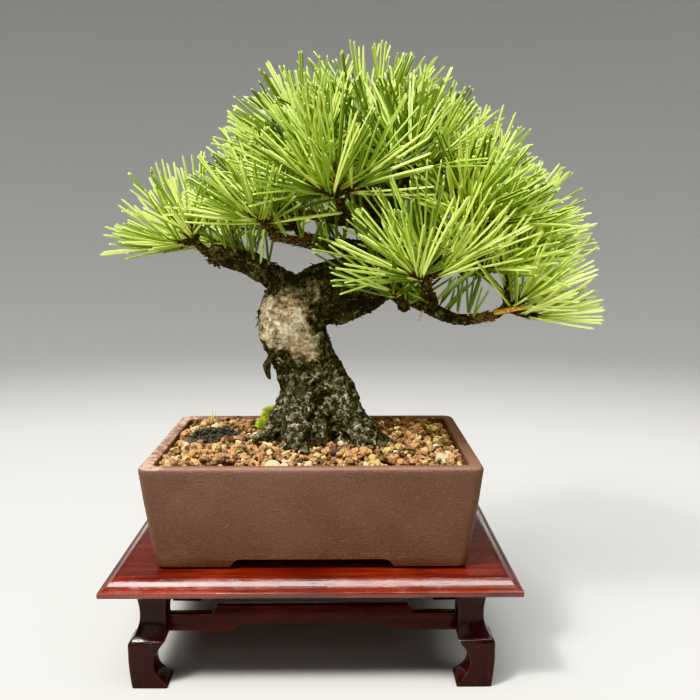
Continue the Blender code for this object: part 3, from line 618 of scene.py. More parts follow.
@dataclass
class Stand:
    """The display stand: a moulded board on four scrolled legs, with humped rails."""

    finishes: Finishes
    moulding: tuple = (
        (0.9, 0.0), (0.2, 0.3), (0.0, 0.8), (0.0, 2.1), (0.5, 2.5), (1.7, 3.0),
        (2.8, 3.8), (3.8, 4.9), (4.8, 5.7), (5.9, 6.1), (7.0, 6.2),
    )
    mitre_edge: float = 0.25
    # The band above the lip, in height, where a pale line is painted as the fillet's highlight.
    lip_highlight_band: Pair = (2.1, 2.45)
    leg_profile: tuple = (
        (0.0, 1.0, 14.2), (1.5, 0.8, 13.6), (4.5, 0.5, 11.2), (8.0, 0.2, 9.6), (11.5, 0.0, 9.5),
        (14.5, 0.0, 10.6), (17.6, 0.0, 12.8), (18.6, 0.9, 13.6), (21.2, 2.5, 13.6), (25.0, 3.7, 13.6),
        (29.6, 3.8, 13.6), (34.1, 3.1, 14.2), (38.2, 1.6, 15.2),
    )
    profile_steps: int = 3
    leg_edge: float = 0.55
    rail_edge: float = 0.4
    hump: float = 3.0
    hump_slope: float = 2.0
    hump_top: float = 0.66
    hump_bottom: float = 0.51

    def build(self) -> None:
        """Builds the board, the legs and the rails."""
        self.build_board()
        for end in ("front", "back"):
            for hand in ("left", "right"):
                self.build_leg(f"leg_{end}_{hand}", 1 if hand == "right" else -1, 1 if end == "back" else -1)
        for side in ("front", "back"):
            self.build_rail(f"rail_{side}", Axis.X)
        for side in ("left", "right"):
            self.build_rail(f"rail_{side}", Axis.Y)

    def build_board(self) -> None:
        """Builds the board: a thin lip, an ogee and a flat top, mitred at the corners."""
        low, high = node_box("stand_top")
        half = (high - low) / 2
        middle = (high + low) / 2
        bm = bmesh.new()
        bmesh.ops.create_grid(bm, x_segments=1, y_segments=1, size=1.0)
        face = bm.faces[:][0]
        for number, (inset, height) in enumerate(curve_through(self.moulding, self.profile_steps)):
            if number:
                face = extrude_face(bm, face)
            for vert in face.verts:
                vert.co.x = middle.x + math.copysign(half.x - inset, vert.co.x - middle.x)
                vert.co.y = middle.y + math.copysign(half.y - inset, vert.co.y - middle.y)
                vert.co.z = low.z + height
        bmesh.ops.recalc_face_normals(bm, faces=bm.faces)
        corners = [edge for edge in sharp_edges(bm, 40) if self.climbs(edge)]
        bevel_edges(bm, corners, self.mitre_edge)
        # The band over the lip is marked so that its finish paints a highlight line there.
        mark_edges(bm, [face for face in bm.faces if self.on_lip_highlight_band(face, low.z)])
        for face in bm.faces:
            sideways = abs(face.normal.x) > abs(face.normal.y)
            face.material_index = int(sideways and abs(face.normal.z) < 0.995)
        looks = [self.finishes.board_along, self.finishes.board_across]
        make_piece(bm, "moulded_board", looks, ["stand_top"], 28)

    @staticmethod
    def climbs(edge: BMEdge) -> bool:
        """Tells whether an edge runs up a mitre."""
        return abs(edge.verts[0].co.z - edge.verts[1].co.z) > 0.01

    def on_lip_highlight_band(self, face: BMFace, floor: float) -> bool:
        """Tells whether a face is in the band between the board's upright lip and its moulding, where a pale
        line paints the highlight.
        """
        return self.lip_highlight_band[0] < face.calc_center_median().z - floor < self.lip_highlight_band[1]

    def build_leg(self, name: str, side_x: int, side_y: int) -> None:
        """Builds one leg, sawn to the same curve on both its outer and both its inner faces.

        Args:
            name: The leg's node.
            side_x: 1 on the right, -1 on the left.
            side_y: 1 at the back, -1 at the front.
        """
        low, high = node_box(name)
        face_x = high.x if side_x > 0 else low.x
        face_y = high.y if side_y > 0 else low.y
        bm = bmesh.new()
        bmesh.ops.create_grid(bm, x_segments=1, y_segments=1, size=1.0)
        face = bm.faces[:][0]
        outer_side = {vert: (vert.co.x * side_x > 0, vert.co.y * side_y > 0) for vert in face.verts}
        for number, (height, outer, inner) in enumerate(curve_through(self.leg_profile, self.profile_steps)):
            if number:
                sides = [(vert.co.copy(), outer_side[vert]) for vert in face.verts]
                face = extrude_face(bm, face)
                for vert in face.verts:
                    outer_side[vert] = min(sides, key=lambda side: (side[0] - vert.co).length)[1]
            for vert in face.verts:
                outer_x, outer_y = outer_side[vert]
                vert.co.x = face_x - side_x * (outer if outer_x else inner)
                vert.co.y = face_y - side_y * (outer if outer_y else inner)
                vert.co.z = height
        bmesh.ops.recalc_face_normals(bm, faces=bm.faces)
        bevel_edges(bm, sharp_edges(bm, 50), self.leg_edge)
        make_piece(bm, "carved_" + name, [self.finishes.leg], [name], 30)

    def build_rail(self, name: str, along: Axis) -> None:
        """Builds one rail, a bar whose middle steps up.

        Args:
            name: The rail's node.
            along: The way that it runs.
        """
        low, high = node_box(name)
        across = Axis.Y if along is Axis.X else Axis.X
        middle = (low + high) / 2
        half = (high[along.value] - low[along.value]) / 2
        top, bottom = half * self.hump_top, half * self.hump_bottom
        upper = high.z - self.hump
        right = [(half, low.z), (half, upper), (top + self.hump_slope, upper), (top, high.z)]
        arch = [(bottom, low.z + self.hump), (bottom + self.hump_slope, low.z)]
        left, arch_left = ([(-reach, height) for reach, height in reversed(run)] for run in (right, arch))
        profile = [*right, *left, *arch_left, *arch]
        bm = bmesh.new()
        verts = []
        for reach, height in profile:
            place = [0.0, 0.0, height]
            place[along.value] = middle[along.value] + reach
            place[across.value] = low[across.value]
            verts.append(bm.verts.new(place))
        face = extrude_face(bm, bm.faces.new(verts))
        for vert in face.verts:
            vert.co[across.value] = high[across.value]
        bmesh.ops.recalc_face_normals(bm, faces=bm.faces)
        bevel_edges(bm, sharp_edges(bm, 20), self.rail_edge)
        look = self.finishes.rail_along if along is Axis.X else self.finishes.rail_across
        make_piece(bm, "sawn_" + name, [look], [name], 30)


@dataclass
class Pot:
    """The pot: a flared wall with round corners, a slim lip, four feet and an open floor."""

    finishes: Finishes
    corner: float = 4.2
    corner_least: float = 2.5
    corner_tightens: float = 0.15
    flare: float = 4.8
    lip: float = 4.8
    wall: float = 5.4
    floor: float = 7.4
    foot: float = 3.6
    foot_ring: float = 6.5
    arch_front: float = 31.0
    arch_side: float = 20.0
    arch_slope: float = 4.0
    foot_edge: float = 0.22
    drain: float = 5.0
    drain_offset: float = 28.0
    corner_segments: int = 10
    steps: int = 2

    def __post_init__(self) -> None:
        """Reads the pot's size from the frame."""
        low, high = node_box("pot")
        self.half_x = (high.x - low.x) / 2
        self.half_y = (high.y - low.y) / 2
        self.bottom = low.z
        self.height = high.z - low.z

    def outside(self) -> list[Pair]:
        """Lays out the outside of the wall, from the foot up.

        Returns:
            Points as (inset from the rim, height above the foot).
        """
        flare = self.flare
        return [
            (flare + 1.9, 0.0), (flare + 0.7, 0.5), (flare + 0.1, 1.7), (flare * 0.80, 9.0),
            (flare * 0.52, 18.0), (flare * 0.26, 27.0), (flare * 0.09, 34.0),
            (0.0, 37.4), (0.2, 38.6), (1.0, self.height),
        ]

    def inside(self) -> list[Pair]:
        """Lays out the inside of the wall, from the lip down to the floor.

        Returns:
            Points as (inset from the rim, height above the foot).
        """
        wall, flare, height = self.wall, self.flare, self.height
        return [
            (self.lip - 0.8, height), (self.lip, height - 0.7), (wall, height - 3.5),
            (wall + flare * 0.5, 20.0), (wall + flare * 0.9, 9.5), (wall + flare + 1.5, self.floor),
        ]

    def corner_radius(self, inset: float) -> float:
        """Gives the plan's corner radius at an inset from the rim."""
        return max(self.corner_least, self.corner - self.corner_tightens * inset)

    def plan(self, bm: BMesh) -> BMFace:
        """Starts a rounded rectangle of the rim's size.

        Args:
            bm: The mesh.

        Returns:
            Its face.
        """
        bmesh.ops.create_grid(bm, x_segments=1, y_segments=1, size=1.0)
        bmesh.ops.scale(bm, vec=(self.half_x, self.half_y, 1.0), verts=bm.verts)
        shape = {"affect": "VERTICES", "segments": self.corner_segments, "profile": 0.5}
        bmesh.ops.bevel(bm, geom=bm.verts[:], offset=self.corner, material=-1, **shape)
        return bm.faces[:][0]

    def move_ring(self, verts: Iterable[BMVert], was: float, inset: float, height: float) -> None:
        """Moves a ring of the plan to another inset and height.

        Args:
            verts: The ring's vertices.
            was: The inset that they are at.
            inset: The inset that they go to.
            height: The height that they go to, above the foot.
        """
        old, new = self.corner_radius(was), self.corner_radius(inset)
        for vert in verts:
            for axis, half in ((0, self.half_x), (1, self.half_y)):
                side = math.copysign(1.0, vert.co[axis])
                beyond = abs(vert.co[axis]) - (half - was - old)
                vert.co[axis] = side * (half - inset - new + beyond * new / old)
            vert.co.z = self.bottom + height

    def loft(self, profile: Sequence[Pair]) -> BMesh:
        """Extrudes the plan through a profile.

        Args:
            profile: Points as (inset, height).

        Returns:
            A closed mesh.
        """
        bm = bmesh.new()
        face = self.plan(bm)
        was = 0.0
        for number, (inset, height) in enumerate(profile):
            if number:
                face = extrude_face(bm, face)
            self.move_ring(face.verts, was, inset, height)
            was = inset
        bmesh.ops.recalc_face_normals(bm, faces=bm.faces)
        return bm

    def arch(self, half_width: float, along: Axis) -> BMesh:
        """Makes the long low block that opens an arch between two feet, with ends that sweep up.

        Args:
            half_width: Half the arch's width.
            along: The way that the arch is wide.

        Returns:
            The block.
        """
        reach = 2 * max(self.half_x, self.half_y)
        sweep = [(-half_width - self.arch_slope, -4.0)]
        for step in range(7):
            share = step / 6
            rise = self.foot * (0.5 - 0.5 * math.cos(math.pi * share)) if step else 0.0
            sweep.append((-half_width + self.arch_slope * share**1.5, rise))
        outline = sweep + [(-x, z) for x, z in reversed(sweep)]
        bm = bmesh.new()
        verts = [bm.verts.new((x, -reach, self.bottom + z)) for x, z in outline]
        face = extrude_face(bm, bm.faces.new(verts))
        for vert in face.verts:
            vert.co.y = reach
        if along is Axis.Y:
            bmesh.ops.rotate(bm, matrix=Matrix.Rotation(math.pi / 2, 3, "Z"), verts=bm.verts)
        bmesh.ops.recalc_face_normals(bm, faces=bm.faces)
        return bm

    def drain_hole(self, side: int) -> BMesh:
        """Makes the cylinder that opens one drain hole.

        Args:
            side: 1 on the right, -1 on the left.

        Returns:
            The cylinder.
        """
        bm = bmesh.new()
        place = Matrix.Translation((side * self.drain_offset, 0.0, self.bottom + self.floor / 2))
        size = {"radius1": self.drain, "radius2": self.drain, "depth": 2 * self.floor}
        bmesh.ops.create_cone(bm, cap_ends=True, segments=32, matrix=place, **size)
        return bm

    def build(self) -> None:
        """Builds the pot and opens it underneath."""
        profile = curve_through(self.outside(), self.steps) + curve_through(self.inside(), self.steps)
        shell = workpiece(self.loft(profile), "pot_shell")
        under = self.flare + self.foot_ring
        cutters = [
            self.loft([(under, -4.0), (under, self.foot)]),
            self.arch(self.arch_front, Axis.X),
            self.arch(self.arch_side, Axis.Y),
            self.drain_hole(-1),
            self.drain_hole(1),
        ]
        for number, cutter in enumerate(cutters):
            tool = workpiece(cutter, f"pot_cutter_{number}")
            cut = shell.modifiers.new(tool.name, "BOOLEAN")
            cut.operation = "DIFFERENCE"
            cut.object = tool
        bm = shaped(shell)
        low = [edge for edge in sharp_edges(bm, 50) if min(v.co.z for v in edge.verts) < self.bottom + 3.0]
        bevel_edges(bm, low, self.foot_edge)
        make_piece(bm, "clay_pot", [self.finishes.clay], ["pot"], 32)


def workpiece(bm: BMesh, name: str) -> Object:
    """Makes a passing object that modifiers can work on.

    Args:
        bm: The mesh, in millimetres, which is used up.
        name: The object's name.

    Returns:
        The object.
    """
    mesh = bpy.data.meshes.new(name)
    bm.to_mesh(mesh)
    bm.free()
    made = bpy.data.objects.new(name, mesh)
    bpy.context.scene.collection.objects.link(made)
    return made


def shaped(obj: Object) -> BMesh:
    """Reads a passing object as its modifiers shape it, and removes it with the tools that they use.

    Args:
        obj: The object.

    Returns:
        Its mesh.
    """
    tools = [modifier.object for modifier in obj.modifiers if modifier.type == "BOOLEAN"]
    graph = bpy.context.evaluated_depsgraph_get()
    mesh = bpy.data.meshes.new_from_object(obj.evaluated_get(graph))
    bm = bmesh.new()
    bm.from_mesh(mesh)
    bpy.data.meshes.remove(mesh)
    for spent in (obj, *tools):
        bpy.data.objects.remove(spent)
    return bm


@dataclass(frozen=True)
class Limb:
    """One bough: its name, the points that it passes, and its radius at each end."""

    name: str
    points: tuple
    root_radius: float
    tip_radius: float

    def path(self, steps: int = 2) -> list[Vector]:
        """Gives the limb's centre line."""
        return curve_through(self.points, steps)

    def radii(self, steps: int = 2) -> list[float]:
        """Gives the limb's radius at each point of its centre line."""
        last = steps * (len(self.points) - 1)
        return [self.root_radius + (self.tip_radius - self.root_radius) * i / last for i in range(last + 1)]


@dataclass(frozen=True)
class Mass:
    """One mass of foliage: the bough's name that carries it, the way it aims, and its shoots."""

    name: str
    aim: Point
    shoots: int
    shoot_length: float
    needle_length: float
    fan: float
    seed: int


@dataclass(frozen=True)
class TreePlan:
    """The tree's named points: the trunk's two sweeps, its roots, its boughs and its masses."""

    lower: tuple = ((5, -3, 70), (4.5, -3, 86), (2.5, -2, 102), (-4.5, -2, 119), (-9, -3, 134), (-6, -2, 148))
    lower_radii: tuple = (17.0, 16.0, 14.0, 12.4, 13.8, 10.0)
    upper: tuple = (
        (-8, -3, 141), (4, -1, 144), (16, 2, 147), (27, 4, 155), (31, 5, 167), (29, 6, 180), (24, 5, 200),
    )
    upper_radii: tuple = (9.0, 13.0, 12.8, 11.5, 8.4, 6.2, 3.4)
    top_cut: float = 4.0
    roots: tuple = (
        (325, 11.0, 17), (288, -6.5, 14), (255, 9.0, 15), (200, 8.5, 20),
        (155, 9.0, 24), (65, 8.0, 28), (10, 5.0, 22),
    )
    root_height: float = 10.0
    root_runs: tuple = (
        (((-3, -8, 106), (-6, -17, 97), (-6.5, -25, 90), (-3.5, -31.5, 84)), (8.0, 6.4, 4.6, 2.8)),
        (((8, -6, 106), (14, -13, 96.5), (21, -19, 90), (27.5, -24, 83.5)), (8.5, 6.6, 4.8, 2.6)),
        (((-8, -4, 102), (-14, -9, 93), (-20.5, -13, 84)), (6.2, 4.6, 2.4)),
        (((-2, -22, 93), (-9, -27, 88), (-14, -30, 83)), (2.4, 1.7, 1.0)),
        (((13, -16, 95), (18, -24, 88.5), (20, -31, 83)), (2.8, 2.1, 1.1)),
        (((24, -16, 89), (30, -14, 86), (36, -15, 83)), (2.6, 1.9, 1.0)),
        (((-24, -17, 84), (-22.5, -19, 88.5), (-19, -20, 90.2), (-16, -19, 84.5)), (1.3, 1.3, 1.2, 1.1)),
        (((-16, -12, 90), (-24, -9, 86.5), (-31, -11, 83.5)), (2.2, 1.6, 1.0)),
    )
    limbs: tuple = (
        Limb("left", ((-9, -2, 147), (-25, -4, 156), (-41, -7, 161)), 5.6, 4.0),
        Limb("left_back", ((-19, -3, 153), (-24, 9, 158), (-31, 17, 161)), 3.0, 1.9),
        Limb("thin_left", ((28, 2, 160), (6, -14, 163), (-13, -19, 167)), 2.6, 1.7),
        Limb("front_left", ((28, 4, 178), (14, -5, 183), (4, -11, 187)), 2.6, 1.7),
        Limb("outer_left", ((29, 6, 171), (10, 4, 174), (-7, 4, 177)), 3.0, 1.8),
        Limb("upper_left", ((26, 6, 186), (14, 6, 190), (4, 5, 195)), 2.6, 1.7),
        Limb("back_left", ((29, 6, 163), (12, 19, 164), (-4, 26, 167)), 3.2, 1.8),
        Limb("front", ((28, 4, 168), (19, -14, 171), (12, -27, 176)), 2.8, 1.8),
        Limb("front_upper", ((28, 5, 182), (33, -6, 183), (35, -14, 185)), 2.4, 1.7),
        Limb("right_front", ((31, 5, 171), (46, -7, 169), (55, -14, 170)), 2.8, 1.8),
        Limb("upper_right", ((26, 6, 186), (33, 5, 189), (38, 5, 191)), 2.4, 1.7),
        Limb("right_upper", ((29, 6, 177), (42, 5, 177), (53, 5, 179)), 2.8, 1.8),
        Limb("right", ((31, 5, 164), (52, 7, 162), (69, 8, 163)), 4.0, 2.1),
        Limb("right_low", ((52, 7, 162), (59, 3, 157), (66, 4, 153)), 2.5, 1.7),
        Limb("right_middle", ((44, 6, 163), (55, -8, 157), (59, -15, 154)), 2.4, 1.7),
        Limb("low_right", ((26, 0, 150), (43, -19, 141), (55, -25, 136), (67, -25, 137)), 3.6, 1.8),
        Limb("front_right", ((44, -20, 141), (46, -28, 143), (43, -34, 146)), 2.2, 1.6),
        Limb("low_sprig", ((38, -13, 144), (36, -20, 141), (35, -25, 141)), 2.0, 1.4),
        Limb("back", ((27, 6, 182), (25, 18, 186), (24, 27, 190)), 2.8, 1.8),
        Limb("back_right", ((30, 6, 170), (41, 18, 172), (49, 25, 176)), 3.2, 1.9),
        Limb("back_low", ((30, 6, 162), (31, 20, 163), (31, 29, 166)), 3.0, 1.8),
        Limb("back_right_low", ((29, 5, 155), (48, 17, 156), (64, 23, 156)), 3.0, 1.8),
    )
    masses: tuple = (
        Mass("left", (-0.62, -0.12, 0.66), 5, 10, 27, 60, 5),
        Mass("left_back", (-0.46, 0.42, 0.66), 3, 8, 29, 54, 40),
        Mass("thin_left", (-0.34, -0.28, 0.88), 4, 9, 32, 54, 46),
        Mass("front_left", (-0.35, -0.40, 0.85), 3, 11, 31, 50, 40),
        Mass("outer_left", (-0.62, 0.05, 0.78), 4, 9, 32, 54, 45),
        Mass("upper_left", (-0.36, 0.05, 0.93), 4, 11, 31, 52, 48),
        Mass("back_left", (-0.48, 0.50, 0.70), 4, 10, 34, 54, 52),
        Mass("front", (-0.12, -0.48, 0.87), 4, 11, 36, 54, 51),
        Mass("front_upper", (0.12, -0.50, 0.86), 3, 11, 34, 52, 51),
        Mass("right_front", (0.45, -0.50, 0.74), 4, 11, 35, 54, 46),
        Mass("upper_right", (0.30, 0.0, 0.95), 4, 11, 31, 50, 1),
        Mass("right_upper", (0.60, 0.0, 0.80), 4, 11, 31, 52, 43),
        Mass("right", (0.80, 0.05, 0.60), 4, 11, 33, 54, 21),
        Mass("right_low", (0.92, 0.05, 0.36), 3, 11, 35, 50, 48),
        Mass("right_middle", (0.45, -0.58, 0.68), 4, 11, 36, 54, 40),
        Mass("low_right", (0.82, -0.10, 0.52), 4, 11, 31, 52, 44),
        Mass("front_right", (-0.06, -0.42, 0.90), 4, 10, 36, 56, 51),
        Mass("low_sprig", (-0.52, -0.50, 0.68), 1, 7, 36, 0, 47),
        Mass("back", (-0.05, 0.48, 0.87), 4, 11, 34, 54, 19),
        Mass("back_right", (0.48, 0.55, 0.68), 4, 11, 34, 54, 44),
        Mass("back_low", (0.0, 0.80, 0.60), 3, 11, 36, 54, 30),
        Mass("back_right_low", (0.74, 0.48, 0.46), 4, 11, 34, 54, 5),
        Mass("top", (-0.28, -0.02, 0.95), 5, 11, 36, 54, 54),
    )

    def trunk_tip(self) -> tuple[Vector, Vector]:
        """Finds the middle of the trunk's upper end.

        Returns:
            The place, and the way that the trunk points there.
        """
        path = curve_through(self.upper, 4)
        heading = (path[-1] - path[-2]).normalized()
        return path[-1] - heading * self.top_cut, heading

    def root_swell(self, direction: float, height: float) -> float:
        """Tells how far the roots stand out beyond the trunk.

        Args:
            direction: The way out from the trunk, in radians.
            height: The height above the ground.

        Returns:
            The distance.
        """
        swell = 0.0
        for heading, reach, half_width in self.roots:
            turn = (math.degrees(direction) - heading + 180) % 360 - 180
            swell += reach * math.exp(-((turn / half_width) ** 2))
        return swell * math.exp(-max(height, 0.0) / self.root_height)

    def mass_start(self, mass: Mass) -> tuple[Vector, Vector]:
        """Finds where a mass's stem starts.

        Args:
            mass: The mass.

        Returns:
            Its limb's tip, and the way that the limb points there.
        """
        if mass.name == "top":
            return self.trunk_tip()
        path = next(limb for limb in self.limbs if limb.name == mass.name).path()
        return path[-1], (path[-1] - path[-2]).normalized()

    def capsules(self) -> list[tuple[Vector, Vector, float]]:
        """Cuts every limb into straight stretches.

        Returns:
            Each stretch's two ends and its radius.
        """
        upper = [*curve_through(self.upper, 2)[:-1], self.trunk_tip()[0]]
        runs = [
            (curve_through(self.lower, 2), values_through(self.lower_radii, 2)),
            (upper, values_through(self.upper_radii, 2)),
            *((limb.path(), limb.radii()) for limb in self.limbs),
        ]
        return [
            (a, b, max(ra, rb))
            for path, radii in runs
            for a, b, ra, rb in zip(path, path[1:], radii, radii[1:])
        ]


def frames_along(path: Sequence[Vector]) -> list[Matrix]:
    """Gives a frame at each point of a path, carried along so that it doesn't twist.

    Args:
        path: The points.

    Returns:
        Matrices whose Z axis runs along the path.
    """
    across = Vector((1, 0, 0)) if abs((path[1] - path[0]).normalized().x) < 0.9 else Vector((0, 1, 0))
    frames = []
    for index, point in enumerate(path):
        ahead = (path[min(index + 1, len(path) - 1)] - path[max(index - 1, 0)]).normalized()
        across = (across - ahead * across.dot(ahead)).normalized()
        side = ahead.cross(across)
        turn = Matrix((across, side, ahead)).transposed()
        frames.append(Matrix.Translation(point) @ turn.to_4x4())
    return frames


def sweep(bm: BMesh, path: Sequence[Vector], radii: Sequence[float], sides: int) -> None:
    """Adds a closed round limb along a path.

    Args:
        bm: The mesh that it is added to.
        path: The centre line.
        radii: The radius at each point.
        sides: How many sides it has.
    """
    frames = frames_along(path)
    first = frames[0] @ Matrix.Diagonal((radii[0], radii[0], radii[0], 1.0))
    ring = bmesh.ops.create_circle(bm, cap_ends=True, segments=sides, radius=1.0, matrix=first)["verts"]
    face = ring[0].link_faces[0]
    for old, new, was, radius in zip(frames, frames[1:], radii, radii[1:]):
        face = extrude_face(bm, face)
        scale = radius / was
        step = new @ Matrix.Diagonal((scale, scale, scale, 1.0)) @ old.inverted()
        bmesh.ops.transform(bm, matrix=step, verts=face.verts[:])


def eased(value: float, low: float, high: float) -> float:
    """Gives 0 below low, 1 above high, and an eased number between."""
    share = min(1.0, max(0.0, (value - low) / (high - low)))
    return share * share * (3 - 2 * share)


@dataclass
class Wood:
    """The trunk and the boughs: two skins of flaking bark, cut flat in the soil, and loose chips."""

    tree: TreePlan
    finishes: Finishes
    trunk_grain: float = 0.46
    bough_grain: float = 0.58
    sides: int = 24
    steps: int = 4
    flake_size: float = 4.4
    flake_length: float = 1.5
    foot_top: float = 27.0
    sink: float = 1.8
    pale_spots: tuple = (
        ((-11, -16, 141), 8.0, 1.0), ((-10, -16, 132), 9.0, 1.0), ((-5, -16, 125), 6.0, 0.9),
        ((-19, -8, 136), 8.0, 0.8), ((-18, -9, 127), 5.0, 0.8), ((17, -11, 104), 3.5, 0.9),
        ((0, -14, 148), 6.0, 0.45), ((-8, 11, 137), 10.0, 0.8), ((10, 9, 121), 7.0, 0.7),
        ((1, -16, 124), 6.5, 0.75), ((4, -17, 116), 4.5, 0.7), ((22, -8, 152), 6.0, 0.35),
    )
    # The hollows are sunk into the bark and painted dark as shade.
    hollows: tuple = (((-12, -16, 119), 5.5, 1.3), ((9, -14, 133), 4.5, 0.9), ((-6, -17, 109), 3.5, 0.8))
    chips: int = 460
    chip_size: float = 2.0
    strip: tuple = ((-14, -7, 124), (-16.6, -8.5, 120.5), (-18.6, -9, 116), (-17.6, -9, 110.5))
    strip_widths: tuple = (1.6, 2.0, 3.2, 1.0)
    seed: int = 11

    def trunk_runs(self) -> list[Run]:
        """Lays out the trunk, its roots and its heavy left bough.

        Returns:
            Their centre lines and radii.
        """
        tree = self.tree
        upper = curve_through(tree.upper, self.steps)
        left = tree.limbs[0]
        runs = [
            (curve_through(tree.lower, self.steps), values_through(tree.lower_radii, self.steps)),
            ([*upper[:-1], tree.trunk_tip()[0]], values_through(tree.upper_radii, self.steps)),
            (left.path(self.steps), [radius * 0.98 for radius in left.radii(self.steps)]),
        ]
        runs += [
            (curve_through(points, self.steps), values_through(radii, self.steps))
            for points, radii in tree.root_runs
        ]
        return runs

    def bough_runs(self) -> list[Run]:
        """Gives the centre line and the radii of each lighter bough."""
        return [(limb.path(self.steps), limb.radii(self.steps)) for limb in self.tree.limbs[1:]]

    def spread_roots(self, bm: BMesh, path: Sequence[Vector]) -> None:
        """Spreads the trunk's foot into roots.

        Args:
            bm: The lower trunk's mesh.
            path: Its centre line.
        """
        for vert in bm.verts:
            centre = min(path, key=lambda point: (point - vert.co).length)
            away = Vector((vert.co.x - centre.x, vert.co.y - centre.y, 0.0))
            if away.length > 0.1:
                swell = self.tree.root_swell(math.atan2(away.y, away.x), vert.co.z - GROUND)
                vert.co += away.normalized() * swell

    def skin(self, runs: Sequence[Run], grain: float, rooted: bool) -> BMesh:
        """Joins limbs into one close-meshed skin.

        Args:
            runs: Their centre lines and radii.
            grain: The size of the skin's faces.
            rooted: Whether the first limb spreads into roots, and is cut flat in the soil.

        Returns:
            The skin.
        """
        bm = bmesh.new()
        sweep(bm, *runs[0], self.sides)
        if rooted:
            self.spread_roots(bm, runs[0][0])
        for path, radii in runs[1:]:
            sweep(bm, path, radii, self.sides)
        bmesh.ops.recalc_face_normals(bm, faces=bm.faces)
        rough = workpiece(bm, "limbs")
        joined = rough.modifiers.new("join", "REMESH")
        joined.mode = "VOXEL"
        joined.voxel_size = grain
        bm = shaped(rough)
        if rooted:
            cut = {"plane_co": (0, 0, GROUND - self.sink), "plane_no": (0, 0, -1), "clear_outer": True}
            bmesh.ops.bisect_plane(bm, geom=[*bm.verts, *bm.edges, *bm.faces], **cut)
            bmesh.ops.contextual_create(bm, geom=[edge for edge in bm.edges if edge.is_boundary])
        for _ in range(2):
            bmesh.ops.smooth_vert(
                bm, verts=bm.verts, factor=0.5, use_axis_x=True, use_axis_y=True, use_axis_z=True
            )
        return bm

    @staticmethod
    def spots(place: Vector, spots: Sequence[tuple]) -> float:
        """Adds up how far a place is inside some spots.

        Args:
            place: The place.
            spots: Each spot's middle, its radius and its strength.

        Returns:
            The sum.
        """
        return sum(
            strength * math.exp(-(((place - Vector(middle)).length / radius) ** 2))
            for middle, radius, strength in spots
        )

    @staticmethod
    def stations(runs: Sequence[Run]) -> list[tuple[Matrix, Matrix, float, float]]:
        """Gives frames along limbs, in which the bark's pattern is laid out.

        Args:
            runs: The limbs' centre lines and radii.

        Returns:
            Each frame, its inverse, the limb's radius there and the length of limb behind it.
        """
        found = []
        for path, radii in runs:
            reach = 0.0
            for index, (matrix, radius) in enumerate(zip(frames_along(path), radii)):
                reach += (path[index] - path[index - 1]).length if index else 0.0
                found.append((matrix, matrix.inverted(), radius, reach))
        return found

    def relief(self, bm: BMesh, runs: Sequence[Run]) -> None:
        """Raises the bark's flakes and cuts its cracks, and marks them for the finish.

        Args:
            bm: The skin.
            runs: The centre lines and radii under it.
        """
        stations = self.stations(runs)
        nearest = kdtree.KDTree(len(stations))
        for index, (matrix, _, _, _) in enumerate(stations):
            nearest.insert(matrix.translation, index)
        nearest.balance()
        layers = {name: bm.verts.layers.float.new(name) for name in ("crack", "worn", "foot", "tone")}
        bm.normal_update()
        moves = []
        for vert in bm.verts:
            place = vert.co
            found = nearest.find_n(place, 3)
            index = min(found, key=lambda item: item[2] - 0.9 * stations[item[1]][2])[1]
            _, into, radius, reach = stations[index]
            # Where the place is round and along its limb, in flakes.
            local = into @ place
            heavy = min(1.0, radius / 10.0)
            size = self.flake_size * (0.4 + 0.6 * heavy)
            around = Vector((local.x, local.y, 0.0)).normalized() * radius
            spot = Vector((around.x, around.y, (reach + local.z) / self.flake_length)) / size
            warp = noise.noise_vector(place / (size * 0.8)) * 0.55 + noise.noise_vector(place / 1.5) * 0.24
            # The flakes with the cracks between them, then the smaller chips on each.
            near, centres = noise.voronoi(spot + warp)[:2]
            torn = noise.noise(place / 3.3 + Vector((9, 0, 0)))
            crack = 1 - eased(near[1] - near[0], 0.0, max(0.05, 0.20 + 0.45 * torn))
            lift = noise.noise(centres[0] * 3.7)
            near, centres = noise.voronoi(spot * 2.4 + warp * 1.8)[:2]
            nick = 1 - eased(near[1] - near[0], 0.0, 0.22)
            chip = noise.noise(centres[0] * 5.1)
            fine = noise.fractal(place / 1.7, 0.9, 2.1, 3)
            # How far the place is worn pale, hollow, or part of the rough foot.
            worn = self.spots(place, self.pale_spots) * min(1.0, heavy * 1.4)
            worn = eased(worn + 0.40 * noise.noise(place / 3.4) + 0.30 * noise.noise(place / 1.2), 0.15, 1.05)
            hollow = self.spots(place, self.hollows)
            foot_line = self.foot_top + 7.0 * noise.noise(place / 6.0) + 0.18 * place.x
            foot = 1 - eased(place.z - GROUND, foot_line - 6.0, foot_line)
            worn *= 1 - 0.8 * foot * float(place.x < 10)
            ridge = noise.fractal(Vector((around.x, around.y, (reach + local.z) / 2.2)) / 1.8, 0.8, 2.0, 3)
            # How far each of the three kinds of bark rises here, and their blend.
            flaky = 0.85 * lift * (1 - crack) - 0.75 * crack + 0.38 * chip - 0.30 * nick + 0.30 * fine
            plain = 0.22 * lift * (1 - crack) - 0.12 * crack - 0.06 * nick + 0.16 * fine
            rough = 0.80 * ridge + 0.60 * fine - 0.35 * crack + 0.35 * chip
            rise = (flaky * (1 - worn) + plain * worn) * (1 - foot) + rough * foot - 0.9 * min(1.0, hollow)
            lump = 0.35 * noise.noise(place / 5.0) if heavy < 0.6 else 0.0
            moves.append(vert.normal * (rise * (0.34 + 0.66 * heavy) + lump))
            split = max(crack * (1 - 0.75 * worn), 0.55 * nick * (1 - worn))
            # In the hollows the crack value also paints shade into the recess.
            vert[layers["crack"]] = min(1.0, max(split, min(1.0, hollow) * (0.6 - fine)))
            vert[layers["worn"]] = worn
            vert[layers["foot"]] = foot
            vert[layers["tone"]] = min(1.0, max(0.0, 0.5 + 0.7 * lift + 0.4 * chip + 0.3 * fine))
        for vert, move in zip(bm.verts, moves):
            vert.co += move
        bm.normal_update()

